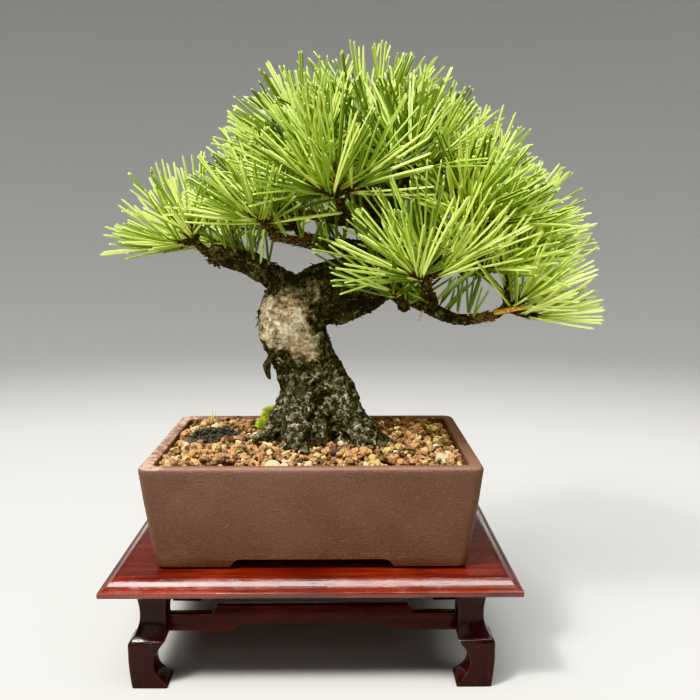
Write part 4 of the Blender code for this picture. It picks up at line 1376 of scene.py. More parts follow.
    def build_chips(self, bm: BMesh) -> None:
        """Builds loose chips of bark that stand off the trunk, each with its root edge in the skin.

        Args:
            bm: The trunk's skin.
        """
        rng = random.Random(self.seed)
        worn, foot = (bm.verts.layers.float[name] for name in ("worn", "foot"))
        verts = []
        bm.verts.ensure_lookup_table()
        rows = ((0.0, 1.0, 0.9), (0.5, 0.95, 0.7), (1.0, 0.6, 0.25))
        corners = ((-1, -0.5), (1, -0.5), (1, 0.5), (-1, 0.5))
        count = len(rows) * len(corners)
        while len(verts) < self.chips * count:
            vert = bm.verts[rng.randrange(len(bm.verts))]
            if vert.co.z < GROUND + 1 or vert[worn] > 0.7 or rng.random() < 0.35 * vert[foot]:
                continue
            out = vert.normal
            down = tilted(out, math.pi / 2, rng.uniform(0, FULL_TURN))
            if down.z > 0.2 and rng.random() < 0.6:
                down = -down
            across = out.cross(down)
            length = self.chip_size * rng.uniform(0.5, 1.35)
            width = self.chip_size * rng.uniform(0.35, 0.8)
            thick = rng.uniform(0.22, 0.42)
            rise = length * rng.uniform(0.12, 0.62)
            skew = rng.uniform(-0.4, 0.4)
            for along, wide, deep in rows:
                middle = vert.co + down * length * (along - 0.35) + out * (rise * along**1.6 - 0.12)
                middle = middle + across * skew * width * along
                for side, level in corners:
                    aside = across * side * width * wide * rng.uniform(0.75, 1.25) / 2
                    verts.append(tuple(middle + aside + out * thick * deep * level))
        chip = [*tube_quads(len(rows), len(corners)), (3, 2, 1, 0), (8, 9, 10, 11)]
        faces = np.arange(self.chips)[:, None, None] * count + np.array(chip)[None]
        mesh = joined_mesh("bark_chips", np.array(verts), faces.reshape(-1, 4), smooth=False)
        place_piece(mesh, [self.finishes.chips])

    def build_strip(self) -> None:
        """Builds the strip of bark that hangs from the left of the trunk."""
        bm = bmesh.new()
        widths = values_through(self.strip_widths, self.steps)
        frames = frames_along(curve_through(self.strip, self.steps))
        first = frames[0] @ Matrix.Diagonal((widths[0] / 2, 0.5, 1.0, 1.0))
        ring = bmesh.ops.create_circle(bm, cap_ends=True, segments=8, radius=1.0, matrix=first)["verts"]
        face = ring[0].link_faces[0]
        for old, new, was, width in zip(frames, frames[1:], widths, widths[1:]):
            face = extrude_face(bm, face)
            step = new @ Matrix.Diagonal((width / was, 0.97, 1.0, 1.0)) @ old.inverted()
            bmesh.ops.transform(bm, matrix=step, verts=face.verts[:])
        for vert in bm.verts:
            vert.co += noise.noise_vector(vert.co / 1.7) * 0.5
        bmesh.ops.recalc_face_normals(bm, faces=bm.faces)
        make_piece(bm, "hanging_bark_strip", [self.finishes.chips])

    def build_marks(self) -> None:
        """Builds the cut stub at the low bough's end and the pale bract under it."""
        marks = (
            ("cut_stub", (69, -26.5, 138.6), (79.5, -33.5, 141.4), (1.0, 0.95, 1.0), (0.60, 0.34, 0.07)),
            ("pale_bract", (42.5, -20.5, 139.5), (40.8, -21.5, 134.8), (1.3, 0.5, 0.35), (0.50, 0.38, 0.34)),
        )
        for name, start, end, (wide, narrow, thick), shade in marks:
            start, end = Vector(start), Vector(end)
            turn = (end - start).to_track_quat("Z", "Y").to_matrix().to_4x4()
            place = Matrix.Translation((start + end) / 2) @ turn @ Matrix.Diagonal((1.0, thick, 1.0, 1.0))
            size = {"radius1": wide, "radius2": narrow, "depth": (end - start).length}
            bm = bmesh.new()
            bmesh.ops.create_cone(bm, cap_ends=True, segments=12, matrix=place, **size)
            bevel_edges(bm, sharp_edges(bm, 50), 0.2, 2)
            make_piece(bm, name, [Grit(name, shade).make()], smooth_angle=40)

    def build(self) -> None:
        """Builds both skins, which stand for the trunk and every bough, and the chips."""
        runs = self.trunk_runs()
        bm = self.skin(runs, self.trunk_grain, True)
        self.relief(bm, runs)
        self.build_chips(bm)
        self.build_strip()
        self.build_marks()
        make_piece(bm, "trunk_bark", [self.finishes.bark], ["trunk", "bough_left"], 180)
        runs = self.bough_runs()
        bm = self.skin(runs, self.bough_grain, False)
        self.relief(bm, runs)
        nodes = ["bough_" + limb.name for limb in self.tree.limbs[1:]]
        make_piece(bm, "bough_bark", [self.finishes.bark], nodes, 180)


class NeedleShade(Enum):
    """The plain colours of a needle's faces, in the order of a tuft's material slots."""

    SHEATH = (0.34, 0.32, 0.09)
    # BRIGHT, LIGHT, MIDDLE and DEEP are lighter and darker copies of one green, which paint light and shade
    # on the needles.
    BRIGHT = (0.66, 0.73, 0.235)
    LIGHT = (0.43, 0.52, 0.125)
    MIDDLE = (0.20, 0.285, 0.052)
    DEEP = (0.070, 0.115, 0.020)
    YELLOWED = (0.60, 0.50, 0.10)
    TIP = (0.36, 0.42, 0.12)

    @property
    def slot(self) -> int:
        """Its material slot."""
        return list(NeedleShade).index(self)

    @staticmethod
    def materials() -> list[Material]:
        """Makes the materials in slot order."""
        names = {shade: f"needle_{shade.name.lower()}" for shade in NeedleShade}
        return [Leafy(name, shade.value, 0.40, 0.15).make() for shade, name in names.items()]


@dataclass
class NeedleBatch:
    """Needles gathered for one piece, each a curved blade with a blunt tip."""

    half_width: float = 0.54
    half_thick: float = 0.46
    stations: tuple = (0.0, 0.09, 0.36, 0.66, 0.972, 1.0)
    swell: tuple = (0.70, 0.85, 1.0, 1.0, 0.84, 0.45)
    needles: list = field(default_factory=list)

    def add(
        self, root: Vector, way: Vector, bend: Vector, length: float, turn: Vector, shade: NeedleShade
    ) -> None:
        """Adds one needle.

        Args:
            root: Where it starts.
            way: The way that it sets out.
            bend: How far its tip is carried off, as a share of its length.
            length: Its length.
            turn: A direction that its flat side faces, roughly.
            shade: The shade of its blade.
        """
        self.needles.append((*root, *way, *bend, *turn, length, shade.slot))

    def mesh(self, name: str) -> Mesh:
        """Makes all the needles one mesh in the frame's metres.

        Args:
            name: The mesh's name.

        Returns:
            The mesh.
        """
        table = np.array(self.needles)
        roots, ways, bends, turns = (table[:, first : first + 3] for first in (0, 3, 6, 9))
        lengths, blades = table[:, 12:13], table[:, 13].astype(int)
        count, rows = len(roots), len(self.stations)
        verts = np.zeros((count, rows, 4, 3))
        for row, (share, swell) in enumerate(zip(self.stations, self.swell)):
            centre = roots + lengths * (ways * share + bends * share**2)
            ahead = ways + 2 * bends * share
            ahead /= np.linalg.norm(ahead, axis=1)[:, None]
            side = np.cross(ahead, turns)
            side /= np.linalg.norm(side, axis=1)[:, None]
            face = np.cross(side, ahead)
            for corner, (wide, thick) in enumerate(((1, 0), (0, 1), (-1, 0), (0, -1))):
                out = side * wide * self.half_width + face * thick * self.half_thick
                verts[:, row, corner] = centre + out * swell
        start = np.arange(count)[:, None, None] * rows * 4
        quads = start + tube_quads(rows, 4)[None]
        ends = start[:, 0] + (rows - 1) * 4 + np.arange(4)[None, :]
        faces = np.concatenate([quads.reshape(-1, 4), ends])
        shades = np.repeat(blades[:, None, None], rows - 1, axis=1)
        # Two of each blade's four faces take the next darker shade: partly the needle's own two-tone faces,
        # partly painted shade on one side.
        under = np.where((shades >= NeedleShade.BRIGHT.slot) & (shades < NeedleShade.DEEP.slot), 1, 0)
        shades = np.concatenate([shades, shades + under, shades + under, shades], axis=2)
        shades[:, 0] = NeedleShade.SHEATH.slot
        shades[:, -1] = NeedleShade.TIP.slot
        slots = np.concatenate([shades.reshape(-1), np.full(count, NeedleShade.TIP.slot)])
        return joined_mesh(name, verts.reshape(-1, 3), faces, slots, smooth=False)


def joined_mesh(
    name: str, verts: np.ndarray, faces: np.ndarray, slots: np.ndarray | None = None, smooth: bool = True
) -> Mesh:
    """Makes one mesh of many small things.

    Args:
        name: The mesh's name.
        verts: Their vertices, in millimetres.
        faces: Their faces, all with the same number of corners.
        slots: Each face's material slot, or None for the first.
        smooth: Whether they are shaded smooth.

    Returns:
        The mesh, in the frame's metres.
    """
    mesh = bpy.data.meshes.new(name)
    corners = faces.shape[1]
    mesh.vertices.add(len(verts))
    mesh.vertices.foreach_set("co", (verts * MM + np.array(MIDDLE)).astype(np.float32).ravel())
    mesh.loops.add(faces.size)
    mesh.loops.foreach_set("vertex_index", faces.astype(np.int32).ravel())
    mesh.polygons.add(len(faces))
    mesh.polygons.foreach_set("loop_start", np.arange(0, faces.size, corners, dtype=np.int32))
    if slots is not None:
        mesh.polygons.foreach_set("material_index", slots.astype(np.int32))
    mesh.polygons.foreach_set("use_smooth", np.full(len(faces), smooth))
    mesh.update(calc_edges=True)
    mesh.validate()
    return mesh


def tilted(axis: Vector, tilt: float, turn: float) -> Vector:
    """Tilts a direction.

    Args:
        axis: The direction.
        tilt: How far it tilts, in radians.
        turn: The way that it tilts, in radians round the axis.

    Returns:
        The new direction.
    """
    side = axis.orthogonal().normalized()
    side.rotate(Matrix.Rotation(turn, 3, axis))
    return (axis * math.cos(tilt) + side * math.sin(tilt)).normalized()


@dataclass
class TwigBatch:
    """The stems and shoots inside the foliage, ringed by old scales."""

    sides: int = 8
    stem_radius: float = 1.65
    shoot_radius: float = 1.25
    bud_radius: float = 1.45
    bud_length: float = 4.5
    scale_size: float = 1.8
    stem_scales: int = 60
    shoot_scales: int = 48
    bud: tuple = ((0.25, 1.0), (0.55, 0.95), (0.8, 0.55), (1.0, 0.12))
    tubes: list = field(default_factory=list)
    scales: list = field(default_factory=list)

    def tube(self, path: Sequence[Vector], radii: Sequence[float]) -> None:
        """Adds a round twig.

        Args:
            path: Its centre line.
            radii: Its radius at each point.
        """
        turns = [2 * math.pi * side / self.sides for side in range(self.sides)]
        rings = []
        for matrix, radius in zip(frames_along(path), radii):
            ring = [Vector((radius * math.cos(turn), radius * math.sin(turn), 0)) for turn in turns]
            rings.append([tuple(matrix @ point) for point in ring])
        self.tubes.append(np.array(rings))

    def stem(self, points: Sequence[Vector], rng: random.Random) -> None:
        """Adds a mass's stem.

        Args:
            points: Its points.
            rng: The mass's random draws.
        """
        path = curve_through(points, 3)
        self.tube(path, [self.stem_radius * rng.uniform(0.9, 1.15) for _ in path])
        self.add_scales(path, self.stem_radius, self.stem_scales, rng)

    def shoot(self, fork: Vector, tip: Vector, heading: Vector, rng: random.Random) -> None:
        """Adds a shoot that ends in a pointed bud.

        Args:
            fork: Where it starts.
            tip: Where the bud starts.
            heading: The way that it points.
            rng: The mass's random draws.
        """
        path = curve_through([fork, fork.lerp(tip, 0.5) - heading * 0.6, tip], 4)
        radii = [self.shoot_radius * rng.uniform(0.85, 1.2) for _ in path]
        path += [tip + heading * self.bud_length * share for share, _ in self.bud]
        radii += [self.bud_radius * share for _, share in self.bud]
        self.tube(path, radii)
        self.add_scales(path, self.shoot_radius, self.shoot_scales, rng)

    def add_scales(self, path: Sequence[Vector], radius: float, count: int, rng: random.Random) -> None:
        """Adds small pointed scales that stand off a twig.

        Args:
            path: The twig's centre line.
            radius: Its radius.
            count: How many scales there are.
            rng: The mass's random draws.
        """
        frames = frames_along(path)
        for number in range(count):
            place = number / count * (len(frames) - 1.001)
            matrix = frames[int(place)]
            turn = number * GOLDEN_TURN
            out = matrix.to_3x3() @ Vector((math.cos(turn), math.sin(turn), 0))
            ahead = matrix.to_3x3() @ UP
            across = ahead.cross(out)
            along = ahead * (place % 1.0) * (path[1] - path[0]).length
            spot = matrix.translation + along + out * radius * 0.8
            size = self.scale_size * rng.uniform(0.7, 1.3)
            point = spot + (ahead * 0.9 + out * rng.uniform(0.25, 0.8)) * size
            lift = out * 0.22 * size
            base = across * 0.36 * size
            corners = (spot - base, spot + base, spot + lift + ahead * 0.3 * size, point)
            self.scales.append([tuple(corner) for corner in corners])

    def build(self) -> None:
        """Makes the twigs one piece and their scales another."""
        verts, faces, start = [], [], 0
        for rings in self.tubes:
            rows, sides = rings.shape[:2]
            verts.append(rings.reshape(-1, 3))
            faces.append(tube_quads(rows, sides) + start)
            start += rows * sides
        mesh = joined_mesh("twigs", np.concatenate(verts), np.concatenate(faces))
        place_piece(mesh, [Bark("twig_bark", chips=True).make()])
        corners = np.array(self.scales)
        base = np.arange(len(corners))[:, None, None] * 4
        sides = np.array([(0, 2, 3), (2, 1, 3), (1, 0, 3), (0, 1, 2)])[None]
        mesh = joined_mesh("twig_scales", corners.reshape(-1, 3), (base + sides).reshape(-1, 3), smooth=False)
        place_piece(mesh, [Leafy("bud_scale", (0.145, 0.085, 0.045), 0.8).make()])


@dataclass
class Crown:
    """The foliage: each mass's stem, its scaly shoots and their paired needles."""

    tree: TreePlan
    finishes: Finishes
    stem_straight: float = 1.8
    stem_bend: float = 5.5
    extra_shoots: int = 1
    pairs: int = 11
    needle_range: Pair = (0.82, 1.05)
    pair_angle: float = 3.6
    tufted: float = 6.5
    top_tilt: float = 6.0
    side_tilt: float = 52.0
    lowest: float = -0.12
    clear_of_limb: float = 1.0
    tip_room: float = 2.0
    shortest: float = 12.0
    tilt_jitter: float = 12.0
    # Needles get darker shades the deeper they sit inside the crown round this core: painted shade.
    painted_shade_core: Point = (20.0, 0.0, 172.0)
    painted_shade_core_radius: float = 12.0
    painted_shade_depth: float = 42.0
    painted_shade_start: float = 0.75
    painted_shade_fall: float = 1.9
    shade_jitter: float = 1.1
    yellow_share: float = 0.002
    margin: float = 0.4
    stray_pairs: int = 8
    stray_range: Pair = (9.0, 21.0)
    stray_scales: int = 60
    stray_seed: int = 71

    def __post_init__(self) -> None:
        """Makes the needles' materials and reads the space that the foliage may fill."""
        self.palette = NeedleShade.materials()
        self.low, self.high = ((corner - MIDDLE) / MM for corner in CAD_BOX)
        starts, ends, radii = zip(*self.tree.capsules())
        self.capsule_start = np.array([tuple(start) for start in starts])
        self.capsule_run = np.array([tuple(end) for end in ends]) - self.capsule_start
        self.capsule_radius = np.array(radii)

    def hits_limb(self, points: Sequence[Vector], room: float) -> bool:
        """Tells whether any of some points is inside a limb.

        Args:
            points: The points.
            room: How far from the limb's surface they have to be.

        Returns:
            Whether one is too near.
        """
        off = np.array([tuple(point) for point in points])[:, None, :] - self.capsule_start[None]
        along = (off * self.capsule_run[None]).sum(-1) / (self.capsule_run**2).sum(-1)[None]
        nearest = off - np.clip(along, 0, 1)[..., None] * self.capsule_run[None]
        apart = np.linalg.norm(nearest, axis=-1) - self.capsule_radius[None]
        return bool((apart < room).any())

    def fitted(self, root: Vector, way: Vector, length: float) -> float:
        """Shortens a needle that would leave the object's box.

        Args:
            root: Where it starts.
            way: The way that it runs.
            length: Its full length.

        Returns:
            The length that fits.
        """
        for axis in range(3):
            if way[axis] > 1e-6:
                length = min(length, (self.high[axis] - self.margin - root[axis]) / way[axis])
            elif way[axis] < -1e-6:
                length = min(length, (self.low[axis] + self.margin - root[axis]) / way[axis])
        return length

    def shoots(self, mass: Mass, rng: random.Random) -> tuple[list[Vector], list[tuple[Vector, Vector]]]:
        """Works out a mass's stem and shoots.

        Args:
            mass: The mass.
            rng: Its random draws.

        Returns:
            The stem's points, and each shoot's tip with the way that it points.
        """
        start, limb_heading = self.tree.mass_start(mass)
        aim = Vector(mass.aim).normalized()
        knee = start + limb_heading * self.stem_straight
        fork = knee + aim * self.stem_bend
        count = mass.shoots + self.extra_shoots if mass.fan else mass.shoots
        found = []
        for number in range(count):
            ring = 0.0 if number == 0 else 1.0
            turn = number * GOLDEN_TURN + rng.uniform(-0.3, 0.3)
            for attempt in range(4):
                tilt = math.radians(mass.fan * ring * (1 - 0.15 * attempt) + rng.uniform(-5, 5))
                heading = tilted(aim, tilt, turn)
                tip = fork + heading * mass.shoot_length * rng.uniform(0.85, 1.05)
                if not self.hits_limb([tip], self.tip_room):
                    found.append((tip, (heading + Vector((0, 0, 0.22))).normalized()))
                    break
        return [start - limb_heading, start, knee, fork], found

    def tuft(
        self, batch: NeedleBatch, length: float, tip: Vector, heading: Vector, deep: float, rng: random.Random
    ) -> None:
        """Adds one shoot's needles.

        Args:
            batch: Where they are gathered.
            length: The needles' usual length.
            tip: Where it ends.
            heading: The way that it points.
            deep: How far inside the crown it is, from 0 to 1, which darkens its needles as painted shade.
            rng: The mass's random draws.
        """
        kinds = (NeedleShade.BRIGHT, NeedleShade.LIGHT, NeedleShade.MIDDLE, NeedleShade.DEEP)
        lean = rng.uniform(-0.5, 0.5)
        for number in range(self.pairs):
            share = (number + rng.uniform(0, 0.8)) / self.pairs
            spot = tip - heading * self.tufted * share
            tilt = self.top_tilt + (self.side_tilt - self.top_tilt) * share**0.75
            tilt = math.radians(tilt + rng.uniform(-self.tilt_jitter, self.tilt_jitter))
            way = tilted(heading, tilt, number * GOLDEN_TURN + rng.uniform(-0.35, 0.35))
            floor = self.lowest + rng.uniform(0.0, 0.45)
            way.z = max(way.z, floor if heading.z < 0.75 else floor + 0.15)
            way.normalize()
            rise = UP - way * way.z
            bend = rise * rng.uniform(-0.03, 0.11)
            bend += tilted(way, math.pi / 2, rng.uniform(0, FULL_TURN)) * 0.05
            spread = way.orthogonal().normalized()
            spread.rotate(Matrix.Rotation(rng.uniform(0, FULL_TURN), 3, way))
            own_length = length * rng.uniform(*self.needle_range)
            # Deeper shoots take darker shades: painted shade inside the crown.
            level = self.painted_shade_start + self.painted_shade_fall * deep + lean
            level = int(round(level + rng.uniform(-self.shade_jitter, self.shade_jitter)))
            shade = kinds[min(3, max(0, level))] if rng.random() > self.yellow_share else NeedleShade.YELLOWED
            for sign in (-1, 1):
                angle = math.radians(self.pair_angle) * rng.uniform(0.3, 1.4)
                own = (way + spread * sign * math.tan(angle)).normalized()
                run = self.fitted(spot, own + bend, own_length * rng.uniform(0.95, 1.0))
                if run < self.shortest:
                    continue
                line = [spot + run * (own * s + bend * s * s) for s in (0.3, 0.5, 0.7, 0.85, 1.0)]
                if self.hits_limb(line, self.clear_of_limb):
                    continue
                batch.add(spot + spread * sign * 0.30, own, bend, run, spread, shade)

    def strays(self, twigs: TwigBatch) -> None:
        """Builds old scales on the outer end of every limb, and the short needles that stand among them.

        Args:
            twigs: Where the scales are gathered.
        """
        batch = NeedleBatch()
        rng = random.Random(self.stray_seed)
        for limb in self.tree.limbs:
            path, radii = limb.path(6), limb.radii(6)
            twigs.add_scales(path[-5:], limb.tip_radius * 1.12, self.stray_scales, rng)
            frames = frames_along(path)
            for number in range(self.stray_pairs):
                index = int((0.35 + 0.6 * (number + rng.random()) / self.stray_pairs) * (len(path) - 1))
                turn = frames[index].to_3x3()
                out = turn @ tilted(UP, math.pi / 2, rng.uniform(0, FULL_TURN))
                out.z = abs(out.z)
                way = (out + turn @ UP * rng.uniform(-0.1, 0.8) + Vector((0, 0, 0.4))).normalized()
                spot = path[index] + out.normalized() * radii[index] * 0.9
                spread = way.orthogonal().normalized()
                spread.rotate(Matrix.Rotation(rng.uniform(0, FULL_TURN), 3, way))
                shade = rng.choice((NeedleShade.LIGHT, NeedleShade.MIDDLE, NeedleShade.DEEP))
                for sign in (-1, 1):
                    own = (way + spread * sign * rng.uniform(0.05, 0.22)).normalized()
                    bend = Vector((0, 0, rng.uniform(-0.05, 0.15)))
                    run = self.fitted(spot, own + bend, rng.uniform(*self.stray_range))
                    line = [spot + run * (own * s + bend * s * s) for s in (0.5, 0.7, 0.85, 1.0)]
                    if not self.hits_limb(line, 0.6):
                        batch.add(spot, own, bend, run, spread, shade)
        place_piece(batch.mesh("stray_needles"), self.palette)

    def build(self) -> None:
        """Builds every mass's needles, and all the twigs and their scales."""
        twigs = TwigBatch()
        total = 0
        for mass in self.tree.masses:
            rng = random.Random(mass.seed)
            stem, shoots = self.shoots(mass, rng)
            twigs.stem(stem, rng)
            batch = NeedleBatch()
            for tip, heading in shoots:
                # How deep the shoot sits inside the crown, which darkens its needles as painted shade.
                out = (tip - Vector(self.painted_shade_core)).length - self.painted_shade_core_radius
                deep = 1.0 - min(1.0, max(0.0, out / self.painted_shade_depth))
                self.tuft(batch, mass.needle_length, tip, heading, deep, rng)
                twigs.shoot(stem[-1], tip, heading, rng)
            total += len(batch.needles)
            mesh = batch.mesh("needles_" + mass.name)
            place_piece(mesh, self.palette, ["foliage_" + mass.name])
        self.strays(twigs)
        twigs.build()
        LOG.info("needles: %d", total)


class GrainKind(Enum):
    """The kinds of soil grain: how common each is, its shade and its usual radius."""

    CLAY_ORANGE = (0.31, (0.40, 0.220, 0.098), 1.48)
    CLAY_BROWN = (0.31, (0.235, 0.134, 0.064), 1.48)
    CLAY_DARK = (0.23, (0.120, 0.068, 0.036), 1.35)
    PUMICE_CREAM = (0.05, (0.68, 0.58, 0.36), 1.50)
    PUMICE_YELLOW = (0.06, (0.58, 0.44, 0.17), 1.45)
    LAVA = (0.04, (0.045, 0.040, 0.036), 1.25)
    MOSSY = (0.0, (0.056, 0.053, 0.042), 1.05)

    @property
    def share(self) -> float:
        """How common the kind is."""
        return self.value[0]

    @property
    def shade(self) -> Colour:
        """Its colour."""
        return self.value[1]

    @property
    def radius(self) -> float:
        """Its usual radius, in millimetres."""
        return self.value[2]


def beyond_plan(x: float, y: float, half_x: float, half_y: float, corner: float) -> float:
    """Tells how far a place is outside a rounded rectangle.

    Args:
        x: The place, from the rectangle's middle.
        y: The place, from the rectangle's middle.
        half_x: Half the rectangle's width.
        half_y: Half its depth.
        corner: Its corners' radius.

    Returns:
        The distance, below 0 inside.
    """
    out_x = max(0.0, abs(x) - half_x + corner)
    out_y = max(0.0, abs(y) - half_y + corner)
    return math.hypot(out_x, out_y) - corner


@dataclass
class Soil:
    """The mounded bed and the loose grains on it."""

    tree: TreePlan
    finishes: Finishes
    pot: Pot
    edge_drop: float = 2.4
    patch_half_x: float = 33.0
    patch_half_y: float = 27.0
    patch_corner: float = 21.6
    patch_x: float = 1.0
    patch_y: float = -3.0
    lump: float = 1.8
    lump_size: float = 6.0
    humps: tuple = (
        (-45, 5, 8.0, 2.4), (-30, -33, 4.5, 1.6), (-9, -37, 4.5, 1.4),
        (38, -28, 5.0, 1.4), (44, 12, 6.0, 1.6), (14, 32, 6.0, 1.5),
    )
    spacing: float = 2.3
    second_layer: float = 0.45
    stones: int = 16
    rings: int = 14
    bed_sink: float = 1.6
    grain_sink: float = 0.7
    seed: int = 5
    mossy: tuple = (-42.0, 3.0, 10.5, 12.0)
    fuzz: int = 640
    cushions: tuple = (((-18.2, 9, 91.5), 4.8), ((-17.0, 9, 87.0), 5.5), ((-21.0, 8, 88.0), 3.8))
    sprouts: tuple = (
        ((-46.7, 30.0, 85.0), (0.6, 0.0, 7.2)), ((-46.2, 30.3, 85.0), (1.4, 0.5, 5.6)),
        ((-29.0, -33.0, 86.5), (-2.6, -1.0, 3.4)), ((-28.6, -33.2, 86.5), (2.9, -1.4, 1.6)),
        ((12.0, -36.0, 85.5), (1.0, -0.6, 2.4)),
    )
    foot_middle: Point = (4.5, -3.0, 0.0)
    foot_radius: float = 16.0
    large: tuple = (
        (-14.5, -41.0, 3.3, "PUMICE_CREAM"), (-1.0, -40.0, 2.5, "PUMICE_CREAM"),
        (-47.6, -33.5, 2.2, "PUMICE_YELLOW"), (-38.0, -19.5, 2.3, "PUMICE_YELLOW"),
        (-30.0, -34.0, 2.2, "CLAY_ORANGE"), (49.0, -31.0, 2.7, "PUMICE_CREAM"),
        (46.0, -12.0, 2.1, "PUMICE_YELLOW"), (52.0, 17.5, 2.5, "PUMICE_YELLOW"),
        (47.0, 18.5, 2.4, "PUMICE_CREAM"), (51.5, 3.0, 2.4, "PUMICE_YELLOW"),
        (27.5, -16.0, 2.1, "PUMICE_CREAM"), (28.5, -29.0, 2.3, "PUMICE_YELLOW"),
        (-53.5, 14.0, 2.4, "PUMICE_YELLOW"), (-26.0, 31.0, 2.3, "PUMICE_CREAM"),
        (36.0, 30.0, 2.4, "PUMICE_CREAM"), (8.0, 38.0, 2.5, "PUMICE_YELLOW"),
        (-30.0, -14.0, 1.9, "PUMICE_CREAM"), (-14.5, -27.0, 2.0, "CLAY_ORANGE"),
        (38.0, -38.0, 2.1, "CLAY_ORANGE"), (14.0, -38.0, 2.2, "CLAY_BROWN"),
    )

    def beyond(self, x: float, y: float, share: float) -> float:
        """Tells how far a place is outside one of the mound's level rings.

        Args:
            x: The place.
            y: The place.
            share: The ring: 0 at the wall and 1 round the patch under the trunk.

        Returns:
            The distance, below 0 inside.
        """
        wall = self.pot.wall + 0.3
        half_x = self.pot.half_x - wall + (self.patch_half_x - self.pot.half_x + wall) * share
        half_y = self.pot.half_y - wall + (self.patch_half_y - self.pot.half_y + wall) * share
        corner = self.pot.corner_radius(wall)
        corner += (self.patch_corner - corner) * share
        return beyond_plan(x - self.patch_x * share, y - self.patch_y * share, half_x, half_y, corner)

    def height(self, x: float, y: float) -> float:
        """Gives the mound's height at a place.

        Args:
            x: The place.
            y: The place.

        Returns:
            The height.
        """
        low, high = 0.0, 1.0
        for _ in range(10):
            middle = (low + high) / 2
            if self.beyond(x, y, middle) > 0:
                high = middle
            else:
                low = middle
        share = low if low < 0.998 else 1.0
        lumps = self.lump * noise.noise(Vector((x, y, 0)) / self.lump_size)
        for hump_x, hump_y, radius, rise in self.humps:
            lumps += rise * math.exp(-((x - hump_x) ** 2 + (y - hump_y) ** 2) / radius**2)
        edge = RIM - self.edge_drop
        rise = (GROUND - edge) * math.sin(share * math.pi / 2)
        return edge + rise + lumps * math.sqrt(max(0.0, math.sin(share * math.pi)))

    def inside_pot(self, x: float, y: float, room: float) -> bool:
        """Tells whether a place is inside the pot's wall.

        Args:
            x: The place.
            y: The place.
            room: How far from the wall it has to be.

        Returns:
            Whether it is.
        """
        half_x = self.pot.half_x - self.pot.wall - room
        half_y = self.pot.half_y - self.pot.wall - room
        return beyond_plan(x, y, half_x, half_y, self.pot.corner_radius(self.pot.wall)) < 0

    def under_trunk(self, x: float, y: float, room: float) -> bool:
        """Tells whether a place is under the trunk's foot.

        Args:
            x: The place.
            y: The place.
            room: How far beyond the foot still counts.

        Returns:
            Whether it is.
        """
        away = Vector((x, y, 0.0)) - Vector(self.foot_middle)
        reach = self.foot_radius + self.tree.root_swell(math.atan2(away.y, away.x), 0.0)
        return away.length < reach + room

    def in_moss(self, x: float, y: float) -> bool:
        """Tells whether a place is on the dark mossy hump.

        Args:
            x: The place.
            y: The place.

        Returns:
            Whether it is.
        """
        middle_x, middle_y, half_x, half_y = self.mossy
        ragged = 0.5 * noise.noise(Vector((x, y, 3.0)) / 3.0)
        return ((x - middle_x) / half_x) ** 2 + ((y - middle_y) / half_y) ** 2 < 1.0 + ragged

    def build_bed(self) -> None:
        """Builds the bed under the grains, from the pot's floor up to the mound."""
        pot = self.pot
        inside = [(inset + 0.3, height) for inset, height in reversed(pot.inside()[2:])]
        bm = bmesh.new()
        face = pot.plan(bm)
        was = 0.0
        top = inside[-1][1]
        reach = pot.half_y - inside[-1][0] - 6.0
        inside += [(inside[-1][0] + reach * ring / self.rings, top) for ring in range(1, self.rings + 1)]
        for number, (inset, height) in enumerate(inside):
            if number:
                face = extrude_face(bm, face)
            pot.move_ring(face.verts, was, inset, height)
            was = inset
        for vert in bm.verts:
            if vert.co.z > pot.bottom + top - 0.01:
                vert.co.z = self.height(vert.co.x, vert.co.y) - self.bed_sink
        bmesh.ops.recalc_face_normals(bm, faces=bm.faces)
        # Its dark finish paints the shade that shows between the grains.
        make_piece(bm, "soil_bed", [self.finishes.bed], ["soil"], 60)

    def templates(self, verts: np.ndarray, rng: np.random.Generator) -> np.ndarray:
        """Makes a few broken stones of radius 1, each a ball with flats knocked off it.

        Args:
            verts: The ball's vertices.
            rng: The random draws.

        Returns:
            Their vertices, one row for each stone.
        """
        made = []
        for _ in range(self.stones):
            stone = verts * rng.uniform(0.82, 1.22, (len(verts), 1))
            for _ in range(6):
                way = rng.normal(size=3)
                way /= np.linalg.norm(way)
                over = np.maximum(stone @ way - rng.uniform(0.55, 0.85), 0)
                stone = stone - over[:, None] * way
            made.append(stone * np.array([1.0, rng.uniform(0.70, 0.95), rng.uniform(0.60, 0.90)]))
        return np.array(made)

    def places(self, rng: np.random.Generator) -> list[tuple[float, float, float]]:
        """Strews places for grains over the mound.

        Args:
            rng: The random draws.

        Returns:
            Places as (x, y, height above the mound).
        """
        found = []
        step_y = self.spacing * math.sqrt(3) / 2
        rows = int(2 * self.pot.half_y / step_y) + 1
        columns = int(2 * self.pot.half_x / self.spacing) + 1
        for row in range(rows):
            for column in range(columns):
                x = -self.pot.half_x + (column + 0.5 * (row % 2)) * self.spacing + rng.uniform(-0.8, 0.8)
                y = -self.pot.half_y + row * step_y + rng.uniform(-0.8, 0.8)
                lift = rng.uniform(-0.5, 0.5) - self.grain_sink
                if self.inside_pot(x, y, 0.8) and not self.under_trunk(x, y, -2.5):
                    found.append((x, y, lift))
                    if rng.random() < self.second_layer:
                        aside = (x + rng.uniform(-1, 1), y + rng.uniform(-1, 1))
                        found.append((*aside, lift + rng.uniform(0.8, 1.6)))
        return [place for place in found if self.inside_pot(place[0], place[1], 0.8)]

    @staticmethod
    def ball() -> tuple[np.ndarray, np.ndarray]:
        """Makes a ball of radius 1 with two dozen faces.

        Returns:
            Its vertices and its faces.
        """
        bm = bmesh.new()
        bmesh.ops.create_cube(bm, size=2.0)
        bmesh.ops.subdivide_edges(bm, edges=bm.edges[:], cuts=1, use_grid_fill=True)
        bm.verts.index_update()
        verts = np.array([tuple(vert.co.normalized()) for vert in bm.verts])
        faces = np.array([[vert.index for vert in face.verts] for face in bm.faces])
        bm.free()
        return verts, faces

